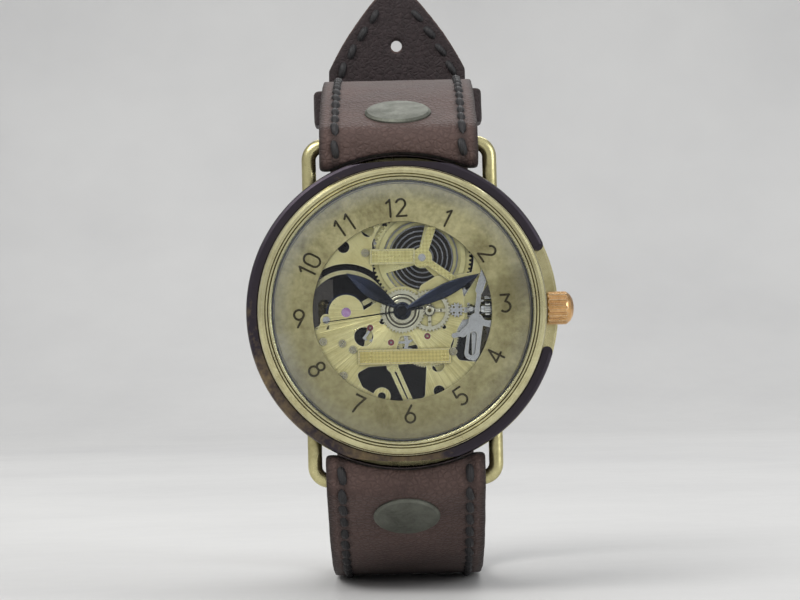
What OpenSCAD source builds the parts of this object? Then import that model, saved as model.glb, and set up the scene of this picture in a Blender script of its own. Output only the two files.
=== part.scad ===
/* [Case] */
// Radius of the case side, in millimetres
case_r = 18.0; // [17:0.1:19]
// Radius of the thin flange at the rear of the case
flange_r = 19.75; // [18.5:0.05:21]
// Height of the case side above the back plane
case_height = 8.0; // [7:0.1:10]
// Height of the top of the bezel above the back plane
bezel_top = 9.6; // [9:0.1:11]
// Radius of the clear part of the crystal
crystal_r = 16.15; // [15:0.05:17]
// Height of the crystal's crown above the bezel
crystal_rise = 1.3; // [0.5:0.1:2]
// Outer radius of the guard rod round the case
guard_r = 19.5; // [19:0.1:20.5]
// End of the guard rod above the crown, in degrees from 3 o'clock
guard_gap_above = 24.6; // [15:0.1:35]
// End of the guard rod below the crown, in degrees from 3 o'clock
guard_gap_below = 17.0; // [12:0.1:35]
// Thickness of the lug wire
lug_wire = 1.8; // [1.2:0.1:2.2]
// Distance of the lug bar from the centre of the watch
lug_reach = 21.1; // [20:0.1:24]
// Diameter of the crown
crown_d = 4.2; // [3.5:0.1:5]
// How far the crown stands out of the case side
crown_length = 3.4; // [2.5:0.1:4.5]

/* [Dial and hands] */
// Radius of the opening in the dial ring
dial_opening_r = 11.2; // [9:0.1:12.5]
// Height of the numerals
numeral_height = 2.4; // [1.5:0.1:3]
// Width of the stamped groove of each numeral
numeral_stroke = 0.27; // [0.15:0.01:0.4]
// Radius of the circle through the middles of the numerals
numeral_circle_r = 12.9; // [12:0.1:14]
// Hour shown at rest
shown_hour = 10; // [0:1:11]
// Minute shown at rest
shown_minute = 10.9; // [0:0.1:59.9]
// Second shown at rest
shown_second = 43.8; // [0:0.1:59.9]
// Length of the minute hand from its pivot
minute_hand_length = 10.7; // [9:0.1:11]
// Length of the hour hand from its pivot
hour_hand_length = 8.4; // [6:0.1:9]
// Length of the seconds hand from its pivot
seconds_hand_length = 10.0; // [8:0.1:11]

/* [Movement] */
// Radius of the main plate
plate_r = 14.6; // [13.5:0.1:15]
// Place of the barrel, right of the centre
barrel_x = 2.60; // [2:0.01:3]
// Place of the barrel, above the centre
barrel_y = 6.66; // [6:0.01:7]
// Place of the balance, right of the centre
balance_x = -7.04; // [-8:0.01:-6]
// Outer radius of the balance rim
balance_r = 5.4; // [4.5:0.1:5.8]
// Place of the pallet fork, right of the centre
pallet_x = -4.07; // [-5:0.01:-3]
// Place of the pallet fork, above the centre
pallet_y = -2.0; // [-3:0.01:-1]
// Place of the escape wheel, right of the centre
escape_x = -1.5; // [-2:0.01:-1]
// Place of the escape wheel, above the centre
escape_y = -3.9; // [-4.5:0.01:-3]
// Place of the third wheel, right of the centre
third_x = 3.07; // [2.5:0.01:3.5]
// Place of the third wheel, above the centre
third_y = -3.2; // [-4:0.01:-2.5]
// Height of the winding stem's axis above the back plane
stem_height = 3.4; // [3:0.1:4]

/* [Strap] */
// Width of the strap
strap_width = 20.0; // [16:0.5:24]
// Thickness of one strap half
strap_thickness = 1.8; // [1.6:0.1:3]
// Diameter of the snap caps
snap_d = 8.45; // [7:0.05:10]
// Height of the tip of the strap's tongue above the centre
tongue_tip = 49.2; // [40:0.5:60]
// Slope of the upper half where it passes its snap, in degrees above straight back
upper_slope = 23; // [15:1:40]
// Slope of the lower half where it passes its snap, in degrees below straight back
lower_slope = 33; // [15:1:40]

/* [Hidden] */
$fn = 96;
// Small step by which a cutting shape runs past the face it cuts
past = 0.05;
// Clearance of the running fits
run = 0.03;
// Distance between the escape wheel and the pallet pivot
escape_to_pallet = norm([pallet_x - escape_x, pallet_y - escape_y]);
// Teeth of each wheel and of the pinion it drives
barrel_teeth = 72;
centre_pinion_teeth = 12;
centre_teeth = 80;
third_pinion_teeth = 10;
third_teeth = 75;
fourth_pinion_teeth = 10;
fourth_teeth = 80;
escape_pinion_teeth = 8;
cannon_teeth = 12;
minute_wheel_teeth = 36;
minute_pinion_teeth = 10;
hour_teeth = 40;
ratchet_teeth = 60;
crown_wheel_teeth = 30;
winding_teeth = 17;
setting_teeth = 12;
escape_wheel_teeth = 15;
// Distance between the centre and the minute wheel of the motion work
motion_x = 3.4;
// Turns of the three hands from 12 o'clock, clockwise
minute_angle = shown_minute * 6;
hour_angle = (shown_hour + shown_minute / 60) * 30;
second_angle = shown_second * 6;
// Heights of the layers, each from the back plane: [low, high]
bridge_layer = [1.4, 2.05];
ratchet_layer = [1.45, 1.75];
barrel_bridge_layer = [1.85, 2.4];
third_layer = [2.15, 2.3];
balance_layer = [2.05, 2.45];
fourth_layer = [2.55, 2.7];
centre_layer = [2.95, 3.15];
barrel_layer = [3.35, 3.85];
escape_layer = [3.35, 3.5];
pallet_layer = [3.3, 3.55];
plate_layer = [4.5, 5.3];
minute_layer = [5.35, 5.55];
hour_layer = [5.65, 5.85];
dial_layer = [6.2, 6.6];
// Places of the keyless work along the stem
crown_wheel_x = 7.7;
setting_wheel_x = 6.8;

// ---- shared shapes ----

// Stands the watch up: local height becomes -Y, local up becomes +Z
module watch() {
    rotate([90, 0, 0])
        children();
}

// Disc between two heights
module disc(r, layer) {
    translate([0, 0, layer[0]])
        cylinder(r = r, h = layer[1] - layer[0]);
}

// Flat ring between two heights
module ring(outer_r, inner_r, layer) {
    translate([0, 0, layer[0]])
        linear_extrude(layer[1] - layer[0])
            difference() {
                circle(outer_r);
                circle(inner_r);
            }
}

// Flat plate of a given outline between two heights
module plate(layer) {
    translate([0, 0, layer[0]])
        linear_extrude(layer[1] - layer[0])
            children();
}

// Points of a toothed outline, first tooth at angle phase
function gear_points(teeth, pitch_r, phase, addendum, dedendum) = [
    for (i = [0:teeth - 1])
        for (corner = [[-0.30, -dedendum], [-0.13, addendum], [0.13, addendum], [0.30, -dedendum]])
            let (angle = phase + (i + corner[0]) * 360 / teeth, r = pitch_r + corner[1])
                [r * cos(angle), r * sin(angle)]
];

module gear_2d(teeth, pitch_r, phase = 0) {
    tooth_module = 2 * pitch_r / teeth;
    polygon(gear_points(teeth, pitch_r, phase, 0.6 * tooth_module, 0.95 * tooth_module));
}

// Wheel with a toothed rim, spokes and a hub
module spoked_wheel(teeth, pitch_r, phase, rim, hub_r, spokes, spoke_width, layer) {
    plate(layer) {
        difference() {
            gear_2d(teeth, pitch_r, phase);
            circle(pitch_r - rim);
        }
        circle(hub_r);
        for (i = [0:spokes - 1])
            rotate(i * 360 / spokes)
                translate([hub_r / 2, -spoke_width / 2])
                    square([pitch_r - rim / 2 - hub_r / 2 - rim / 4, spoke_width]);
    }
}

// Straight bar with round ends from one point to another
module bar_2d(from, to, width) {
    angle = atan2(to[1] - from[1], to[0] - from[0]);
    shank = 0.98 * width;
    translate(from)
        rotate(angle)
            translate([0, -shank / 2])
                square([norm(to - from), shank]);
    translate(from)
        circle(width / 2);
    translate(to)
        circle(width / 2);
}

// Outline with its corners rounded
module rounded(r) {
    offset(r, $fn = 24)
        offset(-r)
            children();
}

// ---- case ----

// Recess for the crown, cut from the case and its flange
module crown_recess() {
    translate([case_r + 0.15, 0, stem_height])
        rotate([0, 90, 0])
            cylinder(r = crown_d / 2 + 0.3, h = 4);
}

// One lug wire, lying flat with its bar at the top
module lug_wire_shape(grow = 0) {
    leg_x = strap_width / 2 + 1.4;
    corner = 1.8;
    wire_r = lug_wire / 2 + grow;
    leg_start = 13.4;
    for (side = [-1, 1]) {
        translate([side * leg_x, leg_start, 3.0])
            rotate([-90, 0, 0])
                cylinder(r = wire_r, h = lug_reach - corner - leg_start);
        translate([side * (leg_x - corner), lug_reach - corner, 3.0])
            rotate([0, 0, side > 0 ? 0 : 90])
                rotate_extrude(angle = 90)
                    translate([corner, 0])
                        circle(wire_r, $fn = 32);
    }
    translate([corner - leg_x, lug_reach, 3.0])
        rotate([0, 90, 0])
            cylinder(r = wire_r, h = 2 * (leg_x - corner));
}

// Drum of the case with its rear flange
module case_middle() {
    color([0.66, 0.62, 0.42])
        watch()
            difference() {
                rotate_extrude()
                    polygon([
                        [17.25, 0.15], [flange_r - 0.6, 0.15], [flange_r, 0.6], [flange_r, 1.5],
                        [flange_r - 0.25, 1.75], [case_r, 1.95], [case_r, case_height],
                        [16.0, case_height], [16.0, 1.25], [17.25, 1.25]
                    ]);
                crown_recess();
                translate([14, 0, stem_height])
                    rotate([0, 90, 0])
                        cylinder(r = 1.0, h = 6);
                lug_wire_shape();
                mirror([0, 1, 0])
                    lug_wire_shape();
            }
}

// Ring that holds the crystal down, with two fine grooves
module bezel() {
    color([0.74, 0.70, 0.48])
        watch()
            rotate_extrude()
                polygon([
                    [16.8, case_height], [case_r - 0.1, case_height], [case_r - 0.1, 8.9],
                    [17.75, 9.25], [17.45, 9.5], [17.1, bezel_top - 0.04], [17.0, bezel_top - 0.16],
                    [16.9, bezel_top], [16.75, bezel_top], [16.65, bezel_top - 0.16],
                    [16.55, bezel_top], [16.35, bezel_top], [crystal_r + 0.05, 9.4],
                    [crystal_r + 0.05, 9.05], [16.8, 9.05]
                ]);
}

// Domed crystal with a flange under the bezel
module crystal() {
    dome_r = (pow(crystal_r, 2) + pow(crystal_rise, 2)) / (2 * crystal_rise);
    dome_centre = 9.45 + crystal_rise - dome_r;
    color([0.9, 0.95, 0.95, 0.3])
        watch()
            difference() {
                union() {
                    disc(16.75, [8.35, 9.0]);
                    intersection() {
                        disc(crystal_r, [8.35, 12]);
                        translate([0, 0, dome_centre])
                            sphere(r = dome_r, $fn = 180);
                    }
                }
                intersection() {
                    disc(15.7, [8.3, 12]);
                    translate([0, 0, dome_centre - 1])
                        sphere(r = dome_r, $fn = 180);
                }
            }
}

// Soft ring under the crystal
module crystal_gasket() {
    color([0.15, 0.15, 0.16])
        watch()
            ring(16.7, 16.02, [case_height, 8.35]);
}

// Blackened rod bent round the case, open at the crown, filed flat at 12 and 6
module guard_ring() {
    rod_inner = case_r;
    rod_mid = (rod_inner + guard_r) / 2;
    rod_half = (guard_r - rod_inner) / 2;
    low = 4.0;
    high = 6.9;
    edge = 0.45;
    color([0.28, 0.25, 0.27])
        watch()
            difference() {
                union() {
                    rotate([0, 0, guard_gap_above])
                        rotate_extrude(angle = 360 - guard_gap_above - guard_gap_below)
                            polygon([
                                [rod_inner, low], [guard_r - edge, low], [guard_r - 0.13, low + 0.13],
                                [guard_r, low + edge], [guard_r, high - edge],
                                [guard_r - 0.13, high - 0.13], [guard_r - edge, high],
                                [rod_inner + 0.2, high], [rod_inner, high - 0.2]
                            ]);
                    for (angle = [guard_gap_above, -guard_gap_below])
                        rotate([0, 0, angle])
                            translate([rod_mid + 0.02, 0, low + 0.1])
                                cylinder(r = rod_half - 0.08, h = high - low - 0.2);
                }
                for (side = [-1, 1])
                    difference() {
                        translate([-8, side > 0 ? 17.5 : -20.5, low - past])
                            cube([16, 3, high - low + 2 * past]);
                        translate([0, side * -23.25, low - 2 * past])
                            cylinder(r = 42, h = high - low + 4 * past, $fn = 360);
                    }
                translate([0, -case_r - 1, low - past])
                    cylinder(r = 0.35, h = high - low + 2 * past);
            }
}

// Screwed ring of the see-through back
module back_ring() {
    color([0.70, 0.66, 0.45])
        watch()
            difference() {
                rotate_extrude()
                    polygon([
                        [12.5, 0.0], [17.0, 0.0], [17.23, 0.2], [17.23, 1.25],
                        [13.2, 1.25], [13.2, 0.25], [12.5, 0.25]
                    ]);
                for (i = [0:5])
                    rotate(i * 60 + 30)
                        translate([15.4, -0.9, -past])
                            cube([1.2, 1.8, 0.5]);
            }
}

module back_glass() {
    color([0.9, 0.95, 0.95, 0.3])
        watch()
            disc(13.17, [0.25, 1.2]);
}

module lug_upper() {
    color([0.70, 0.66, 0.44])
        watch()
            lug_wire_shape();
}

module lug_lower() {
    color([0.70, 0.66, 0.44])
        watch()
            mirror([0, 1, 0])
                lug_wire_shape();
}

// Tube pressed in the case wall, round the stem
module crown_tube() {
    color([0.75, 0.73, 0.68])
        watch()
            translate([16, 0, stem_height])
                rotate([0, 90, 0])
                    difference() {
                        cylinder(r = 1.0, h = 2.8);
                        translate([0, 0, -past])
                            cylinder(r = 0.55, h = 3);
                    }
}

// Fluted winding crown with a domed end
module crown() {
    flutes = 16;
    crown_start = case_r + 0.2;
    color([0.76, 0.58, 0.34])
        watch()
            translate([crown_start, 0, stem_height])
                rotate([0, 90, 0])
                    difference() {
                        rotate_extrude()
                            polygon([
                                [0, 0.9], [1.35, 0.9], [1.35, 0], [crown_d / 2 - 0.2, 0],
                                [crown_d / 2, 0.25], [crown_d / 2, 2.35], [crown_d / 2 - 0.15, 2.6],
                                [crown_d / 2 - 0.45, 2.95], [crown_d / 2 - 1.0, crown_length - 0.15],
                                [0.4, crown_length], [0, crown_length]
                            ]);
                        for (i = [0:flutes - 1])
                            rotate(i * 360 / flutes)
                                translate([crown_d / 2 + 0.16, 0, -past])
                                    cylinder(r = 0.3, h = 2.6, $fn = 24);
                        translate([0, 0, 0.8])
                            cylinder(r = 0.5, h = 1.4);
                    }
}

module crown_gasket() {
    color([0.12, 0.12, 0.12])
        watch()
            translate([case_r + 0.85, 0, stem_height])
                rotate([0, 90, 0])
                    ring(1.35, 1.05, [0.0, 0.25]);
}

// Winding stem: round shank, square for the clutch, pilot at its inner end
module stem() {
    color([0.62, 0.63, 0.66])
        watch()
            translate([0, 0, stem_height])
                rotate([0, 90, 0])
                    difference() {
                        union() {
                            translate([0, 0, 9.85])
                                cylinder(r = 0.5, h = 10.55);
                            translate([-0.33, -0.33, 7.4])
                                cube([0.66, 0.66, 2.45 + past]);
                            translate([0, 0, 6.9])
                                cylinder(r = 0.25, h = 0.5 + past);
                        }
                        translate([0, 0, 12.1])
                            ring(0.6, 0.32, [0, 0.4]);
                    }
}

// ---- dial ----

// Numeral drawn as strokes in a cell one unit high and centred
module digit_2d(digit) {
    w = numeral_stroke / numeral_height;
    h = 0.5 - w / 2;
    if (digit == 0)
        oval_2d(0.27, h, w);
    if (digit == 1) {
        bar_2d([0.06, -h], [0.06, h], w);
        bar_2d([0.06, h], [-0.12, h - 0.17], w);
    }
    if (digit == 2) {
        translate([0, h - 0.24])
            arc_2d(0.24, w, -35, 170);
        bar_2d([0.195, h - 0.38], [-0.25, -h], w);
        bar_2d([-0.25, -h], [0.26, -h], w);
    }
    if (digit == 3) {
        bar_2d([-0.22, h], [0.22, h], w);
        bar_2d([0.22, h], [0.0, 0.1], w);
        translate([-0.02, -h + 0.27])
            arc_2d(0.27, w, -140, 88);
    }
    if (digit == 4) {
        bar_2d([0.12, -h], [0.12, h], w);
        bar_2d([0.12, h], [-0.27, -0.17], w);
        bar_2d([-0.27, -0.17], [0.28, -0.17], w);
    }
    if (digit == 5) {
        bar_2d([0.22, h], [-0.18, h], w);
        bar_2d([-0.18, h], [-0.22, 0.06], w);
        translate([-0.02, -h + 0.27])
            arc_2d(0.27, w, -140, 135);
    }
    if (digit == 6) {
        translate([0, -h + 0.25])
            arc_2d(0.25, w, 0, 360);
        bar_2d([-0.235, -h + 0.33], [0.1, h], w);
    }
    if (digit == 7) {
        bar_2d([-0.24, h], [0.25, h], w);
        bar_2d([0.25, h], [0.02, -0.1], w);
        bar_2d([0.02, -0.1], [-0.04, -h], w);
    }
    if (digit == 8) {
        translate([0, h - 0.2])
            arc_2d(0.2, w, 0, 360);
        translate([0, -h + 0.25])
            arc_2d(0.25, w, 0, 360);
    }
    if (digit == 9)
        rotate(180)
            digit_2d(6);
}

module arc_2d(r, width, from, to) {
    steps = 14;
    outer = [for (i = [0:steps]) let (a = from + (to - from) * i / steps)
        [(r + width / 2) * cos(a), (r + width / 2) * sin(a)]];
    inner = [for (i = [steps:-1:0]) let (a = from + (to - from) * i / steps)
        [(r - width / 2) * cos(a), (r - width / 2) * sin(a)]];
    if (to - from >= 360)
        difference() {
            circle(r + width / 2, $fn = 48);
            circle(r - width / 2, $fn = 48);
        }
    else
        polygon(concat(outer, inner));
}

module oval_2d(half_w, half_h, width) {
    for (side = [-1, 1]) {
        translate([0, side * (half_h - half_w)])
            rotate(side > 0 ? 0 : 180)
                arc_2d(half_w, width, 0, 180);
        translate([side * half_w - width / 2, half_w - half_h])
            square([width, 2 * (half_h - half_w)]);
    }
}

// All twelve numerals, turned as on the dial
module numerals_2d() {
    lean = 3;
    for (hour = [1:12]) {
        turn = -hour * 30;
        upright = hour == 3 || hour == 9;
        inward = hour > 3 && hour < 9;
        rotate(turn + lean)
            translate([0, numeral_circle_r])
                rotate((upright ? -turn : 0) + (inward ? 180 : 0))
                    scale(numeral_height)
                        if (hour < 10)
                            digit_2d(hour);
                        else
                            for (place = [0, 1])
                                translate([place == 0 ? -0.3 : 0.33, 0])
                                    digit_2d(place == 0 ? 1 : hour - 10);
    }
}

// Dial ring with stamped numerals
module dial_ring() {
    color([0.68, 0.66, 0.48])
        watch()
            difference() {
                ring(15.95, dial_opening_r, dial_layer);
                plate([dial_layer[1] - 0.12, dial_layer[1] + past])
                    numerals_2d();
            }
}

// Ring that centres the movement in the case
module movement_ring() {
    color([0.7, 0.68, 0.6])
        watch()
            difference() {
                ring(15.95, 14.65, [1.3, dial_layer[0]]);
                translate([14, 0, stem_height])
                    rotate([0, 90, 0])
                        cylinder(r = 0.8, h = 3);
            }
}

// ---- hands ----

// Leaf hand pointing up, with its eye
module leaf_2d(length, half_width, widest, neck, eye_r) {
    steps = 12;
    side = [for (i = [0:steps]) let (t = i / steps)
        [neck + (half_width - neck) * sin(90 * min(1, t * length / widest)), eye_r + t * (widest - eye_r)]];
    tip = [for (i = [1:steps]) let (t = i / steps)
        [half_width * cos(90 * t) + 0.04 * t, widest + (length - widest) * t]];
    right = concat(side, tip);
    left = [for (i = [len(right) - 1:-1:0]) [-right[i][0], right[i][1]]];
    polygon(concat(right, left));
    circle(eye_r + 0.1);
}

module hour_hand() {
    color([0.13, 0.14, 0.2])
        watch()
            rotate(-hour_angle) {
                plate([7.0, 7.12])
                    difference() {
                        leaf_2d(hour_hand_length, 0.95, 4.6, 0.3, 1.1);
                        circle(0.82);
                    }
                ring(1.2, 0.82, [6.85, 7.2]);
            }
}

module minute_hand() {
    color([0.13, 0.14, 0.2])
        watch()
            rotate(-minute_angle) {
                plate([7.32, 7.44])
                    difference() {
                        leaf_2d(minute_hand_length, 0.8, 5.4, 0.28, 0.75);
                        circle(0.56);
                    }
                ring(0.8, 0.56, [7.28, 7.5]);
            }
}

module seconds_hand() {
    color([0.08, 0.08, 0.09])
        watch()
            rotate(-second_angle) {
                plate([7.72, 7.8]) {
                    polygon([[-0.12, -2.6], [0.12, -2.6], [0.05, seconds_hand_length],
                        [-0.05, seconds_hand_length]]);
                    circle(0.6);
                }
                disc(0.25, [7.52, 7.8]);
                disc(0.35, [7.75, 7.95]);
            }
}

// ---- movement: plate and bridges ----

// Places of the plate screws
screw_places = [[-10.0, -3.6], [-7.6, -3.9], [-6.3, -4.7], [6.3, -5.2], [-7.5, -7.9], [-4.5, 7.4]];
// Direction from the pallet fork to the escape wheel, and across it
escape_way = [escape_x - pallet_x, escape_y - pallet_y] / escape_to_pallet;
across_way = [-escape_way[1], escape_way[0]];
stud_place = [-9.55, -0.9];
click_place = [-3.38, 10.11];
lever_pivot = [12.3, 3.2];
yoke_pivot = [9.0, -7.4];

// Opening over the barrel
module barrel_window_2d() {
    difference() {
        translate([barrel_x, barrel_y])
            circle(6.5);
        circle(3.1);
        rounded(0.5)
            polygon([[1, 0], [2.4, 3.2], [4.3, 4.3], [6.9, 4.4], [9.5, 4.8], [8, -1]]);
        translate([-8.6, 3.5])
            square([5, 8]);
    }
}

// Opening over the balance, round the lobe that carries its jewel
module balance_window_2d() {
    difference() {
        translate([balance_x, 0])
            circle(6.1);
        translate([balance_x, 0])
            circle(2.2);
        circle(3.5);
        rounded(0.6)
            polygon([[-15, -2.0], [-9.2, -2.1], [-9.24, 0.2], [-6, -0.5], [-4.9, 0.2], [-3.2, 1.2],
                [2, 0], [0, -9], [-15, -9]]);
        translate(stud_place)
            circle(0.75);
        bar_2d(stud_place, [-10.4, -2.6], 1.0);
    }
}

// Opening over the keyless work
module keyless_window_2d() {
    rounded(0.5)
        polygon([[7.4, 3.6], [9.4, 4.4], [11.5, 3.2], [11.5, -4.8], [9.9, -6.6], [7.0, -6.3],
            [5.9, -4.6], [6.9, -2.3], [7.75, -0.9], [7.75, 1.6]]);
}

// Openings below the lower bar and behind the centre
module lower_windows_2d() {
    difference() {
        rounded(0.5)
            polygon([[-5.9, -7.7], [-4.4, -6.9], [2.9, -6.5], [2.6, -10.9], [-2.0, -11.4], [-5.2, -9.4]]);
        translate([-2.8, -10.6])
            circle(1.1);
    }
    rounded(0.3)
        polygon([[-0.3, -3.1], [0.9, -3.1], [2.1, -4.9], [-0.9, -4.9]]);
    for (hole = [[-7.2, 8.2, 0.75], [-4.1, 10.2, 0.8], [-4.9, -3.1, 1.2], [4.3, -6.9, 0.8],
            [4.4, -10.1, 0.7], [-2.8, -10.6, 0.5], [-2.55, -1.25, 0.35], [5.2, -2.1, 0.25]])
        translate([hole[0], hole[1]])
            circle(hole[2], $fn = 48);
}

// Skeleton main plate
module main_plate() {
    color([0.78, 0.74, 0.50])
        watch()
            difference() {
                union() {
                    translate([lever_pivot[0], lever_pivot[1], 4.0])
                        cylinder(r = 0.2, h = 0.6);
                    translate([yoke_pivot[0], yoke_pivot[1], 3.3])
                        cylinder(r = 0.2, h = 1.3);
                    plate(plate_layer)
                        difference() {
                            circle(plate_r);
                            barrel_window_2d();
                            balance_window_2d();
                            keyless_window_2d();
                            lower_windows_2d();
                        }
                }
                for (place = [[third_x, third_y], [escape_x, escape_y], [pallet_x, pallet_y]])
                    translate([place[0], place[1], plate_layer[0] - past])
                        cylinder(r = 0.4, h = 1);
                translate([balance_x, 0, plate_layer[0] - past])
                    cylinder(r = 0.6, h = 1);
                translate([0, 0, plate_layer[0] - past])
                    cylinder(r = 0.41, h = 1);
                translate([setting_wheel_x, 0, plate_layer[0] - past])
                    cylinder(r = 0.33, h = 1);
                for (place = screw_places)
                    translate([place[0], place[1], plate_layer[0] - past])
                        cylinder(r = 0.3, h = 1);
                translate([stud_place[0], stud_place[1], plate_layer[0] - past])
                    cylinder(r = 0.25, h = 1);
            }
}

// Bridge over the barrel and crown wheel, with two feet
module barrel_bridge() {
    feet = [[11.6, 5.8], [-5.2, 11.6]];
    color([0.78, 0.74, 0.50])
        watch() {
            difference() {
                plate(barrel_bridge_layer) {
                    bar_2d([barrel_x, barrel_y], [crown_wheel_x, 0], 2.4);
                    bar_2d([crown_wheel_x, 0], feet[0], 1.7);
                    bar_2d([barrel_x, barrel_y], feet[1], 2.0);
                }
                translate([barrel_x, barrel_y, 1.8])
                    cylinder(r = 0.45 + run, h = 1);
            }
            for (foot = feet)
                translate([foot[0], foot[1], 2.4])
                    cylinder(r = 0.8, h = plate_layer[0] - 2.4);
            translate([crown_wheel_x, 0, 1.42])
                cylinder(r = 0.6, h = 0.43);
            translate([click_place[0], click_place[1], 1.42])
                cylinder(r = 0.3, h = 0.43);
        }
}

// Bridge over the going train, with two feet
module train_bridge() {
    feet = [[5.6, -8.6], [0.75, -11.9]];
    color([0.78, 0.74, 0.50])
        watch() {
            difference() {
                plate(bridge_layer) {
                    bar_2d([0, 0], [third_x, third_y], 1.8);
                    bar_2d([third_x, third_y], feet[0], 1.7);
                    bar_2d([third_x, third_y], [escape_x, escape_y], 1.6);
                    bar_2d([escape_x, escape_y], [-1.4, -6.9], 1.5);
                    bar_2d([-1.75, -6.9], [0.4, -11.8], 0.5);
                    bar_2d([-0.95, -6.9], [1.1, -11.8], 0.5);
                    translate([0.75, -11.9])
                        circle(0.9);
                }
                for (place = [[0, 0], [third_x, third_y], [escape_x, escape_y]])
                    translate([place[0], place[1], bridge_layer[0] - past])
                        cylinder(r = 0.4, h = 1);
            }
            for (foot = feet)
                translate([foot[0], foot[1], bridge_layer[1]])
                    cylinder(r = 0.8, h = plate_layer[0] - bridge_layer[1]);
        }
}

module balance_cock() {
    foot = [-11.8, -4.5];
    color([0.78, 0.74, 0.50])
        watch() {
            difference() {
                plate([1.4, 1.9])
                    bar_2d([balance_x, 0], foot, 2.0);
                translate([balance_x, 0, 1.35])
                    cylinder(r = 0.6, h = 1);
            }
            translate([foot[0], foot[1], 1.9])
                cylinder(r = 0.8, h = plate_layer[0] - 1.9);
        }
}

module pallet_bridge() {
    foot = [-4.9, -6.2];
    color([0.78, 0.74, 0.50])
        watch() {
            difference() {
                plate([2.85, 3.15])
                    bar_2d([pallet_x, pallet_y], foot, 0.84);
                translate([pallet_x, pallet_y, 2.8])
                    cylinder(r = 0.13, h = 1);
            }
            translate([foot[0], foot[1], 3.15])
                cylinder(r = 0.42, h = plate_layer[0] - 3.15);
        }
}

// Three-armed front bridge of the barrel, one arm a blank plaque with a beaded rim
module upper_bridge() {
    color([0.80, 0.76, 0.48])
        watch()
            difference() {
                union() {
                    plate([plate_layer[1], 5.7]) {
                        translate([barrel_x, barrel_y])
                            circle(1.25);
                        bar_2d([barrel_x, barrel_y], [4.3, 11.6], 1.1);
                        bar_2d([barrel_x, barrel_y], [6.4, 3.9], 0.9);
                    }
                    plate([plate_layer[1], 5.8])
                        translate([-3.9, 5.9])
                            square([5.6, 1.9]);
                }
                translate([barrel_x, barrel_y, 5])
                    cylinder(r = 0.45 + run, h = 1);
                plaque_recess(-3.9, 5.9, 5.6, 1.9);
            }
}

// Sunk field inside a plaque, leaving a raised rim
module plaque_recess(x, y, width, height) {
    rim = 0.16;
    translate([x + rim, y + rim, 5.72])
        cube([width - 2 * rim, height - 2 * rim, 1]);
}

module lower_bar() {
    color([0.80, 0.74, 0.42])
        watch()
            difference() {
                plate([plate_layer[1], 5.8])
                    translate([-5.65, -6.62])
                        square([11.6, 1.85]);
                plaque_recess(-5.65, -6.62, 11.6, 1.85);
                translate([6.3, -5.2, 5])
                    cylinder(r = 0.6, h = 1);
            }
}

// ---- movement: barrel and winding ----

module barrel_drum() {
    color([0.76, 0.72, 0.48])
        watch()
            translate([barrel_x, barrel_y, 0])
                difference() {
                    union() {
                        plate([barrel_layer[0], 3.65])
                            gear_2d(barrel_teeth, 6.129, atan2(-barrel_y, -barrel_x));
                        disc(5.5, [3.6, 4.4]);
                    }
                    disc(5.2, [3.65, 4.2]);
                    disc(0.45 + run, [3, 5]);
                    plate([4.1, 4.5])
                        difference() {
                            circle(4.9);
                            circle(1.3);
                            for (i = [0:2])
                                rotate(75 + i * 120)
                                    translate([0, -0.6])
                                        square([6, 1.2]);
                        }
                }
}

// Coiled mainspring in the barrel
module mainspring() {
    turns = 7;
    steps = turns * 24;
    color([0.45, 0.46, 0.5])
        watch()
            translate([barrel_x, barrel_y, 0])
                plate([3.7, 4.15])
                    polygon(spiral_band(0.78, 5.1, turns, steps, 0.16));
}

// Closed outline of a spiral band
function spiral_band(from_r, to_r, turns, steps, width) =
    let (spiral = function (i, side)
        let (t = i / steps, r = from_r + (to_r - from_r) * t + side * width / 2, a = 360 * turns * t)
            [r * cos(a), r * sin(a)])
        concat([for (i = [0:steps]) spiral(i, 1)], [for (i = [steps:-1:0]) spiral(i, -1)]);

module barrel_arbor() {
    color([0.62, 0.63, 0.66])
        watch()
            translate([barrel_x, barrel_y, 0]) {
                disc(0.45, [1.42, 3.7]);
                disc(0.68, [3.7, 4.15]);
                disc(0.45, [4.15, 5.78]);
            }
}

module ratchet_wheel() {
    mesh = atan2(-barrel_y, crown_wheel_x - barrel_x);
    color([0.68, 0.69, 0.72])
        watch()
            translate([barrel_x, barrel_y, 0])
                plate(ratchet_layer)
                    difference() {
                        gear_2d(ratchet_teeth, 5.58, mesh);
                        circle(0.45);
                    }
}

module crown_wheel() {
    mesh = atan2(barrel_y, barrel_x - crown_wheel_x);
    color([0.68, 0.69, 0.72])
        watch()
            translate([crown_wheel_x, 0, 0])
                plate(ratchet_layer)
                    difference() {
                        gear_2d(crown_wheel_teeth, 2.79, mesh + 180 / crown_wheel_teeth);
                        circle(0.6 + run);
                    }
}

module click() {
    color([0.68, 0.69, 0.72])
        watch()
            plate(ratchet_layer)
                difference() {
                    union() {
                        translate(click_place)
                            circle(0.6);
                        bar_2d(click_place, [-3.22, 8.32], 0.44);
                    }
                    translate(click_place)
                        circle(0.3 + run);
                }
}

// ---- movement: going train ----

module centre_wheel() {
    color([0.78, 0.72, 0.44])
        watch()
            difference() {
                union() {
                    spoked_wheel(centre_teeth, 3.94, atan2(third_y, third_x), 0.6, 1.1, 4, 0.45, centre_layer);
                    plate([3.15, 3.9])
                        gear_2d(centre_pinion_teeth, 1.021,
                            atan2(barrel_y, barrel_x) + 180 / centre_pinion_teeth);
                    disc(0.38, [2.9, 7.2]);
                }
                disc(0.18, [2.8, 8]);
            }
}

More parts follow.
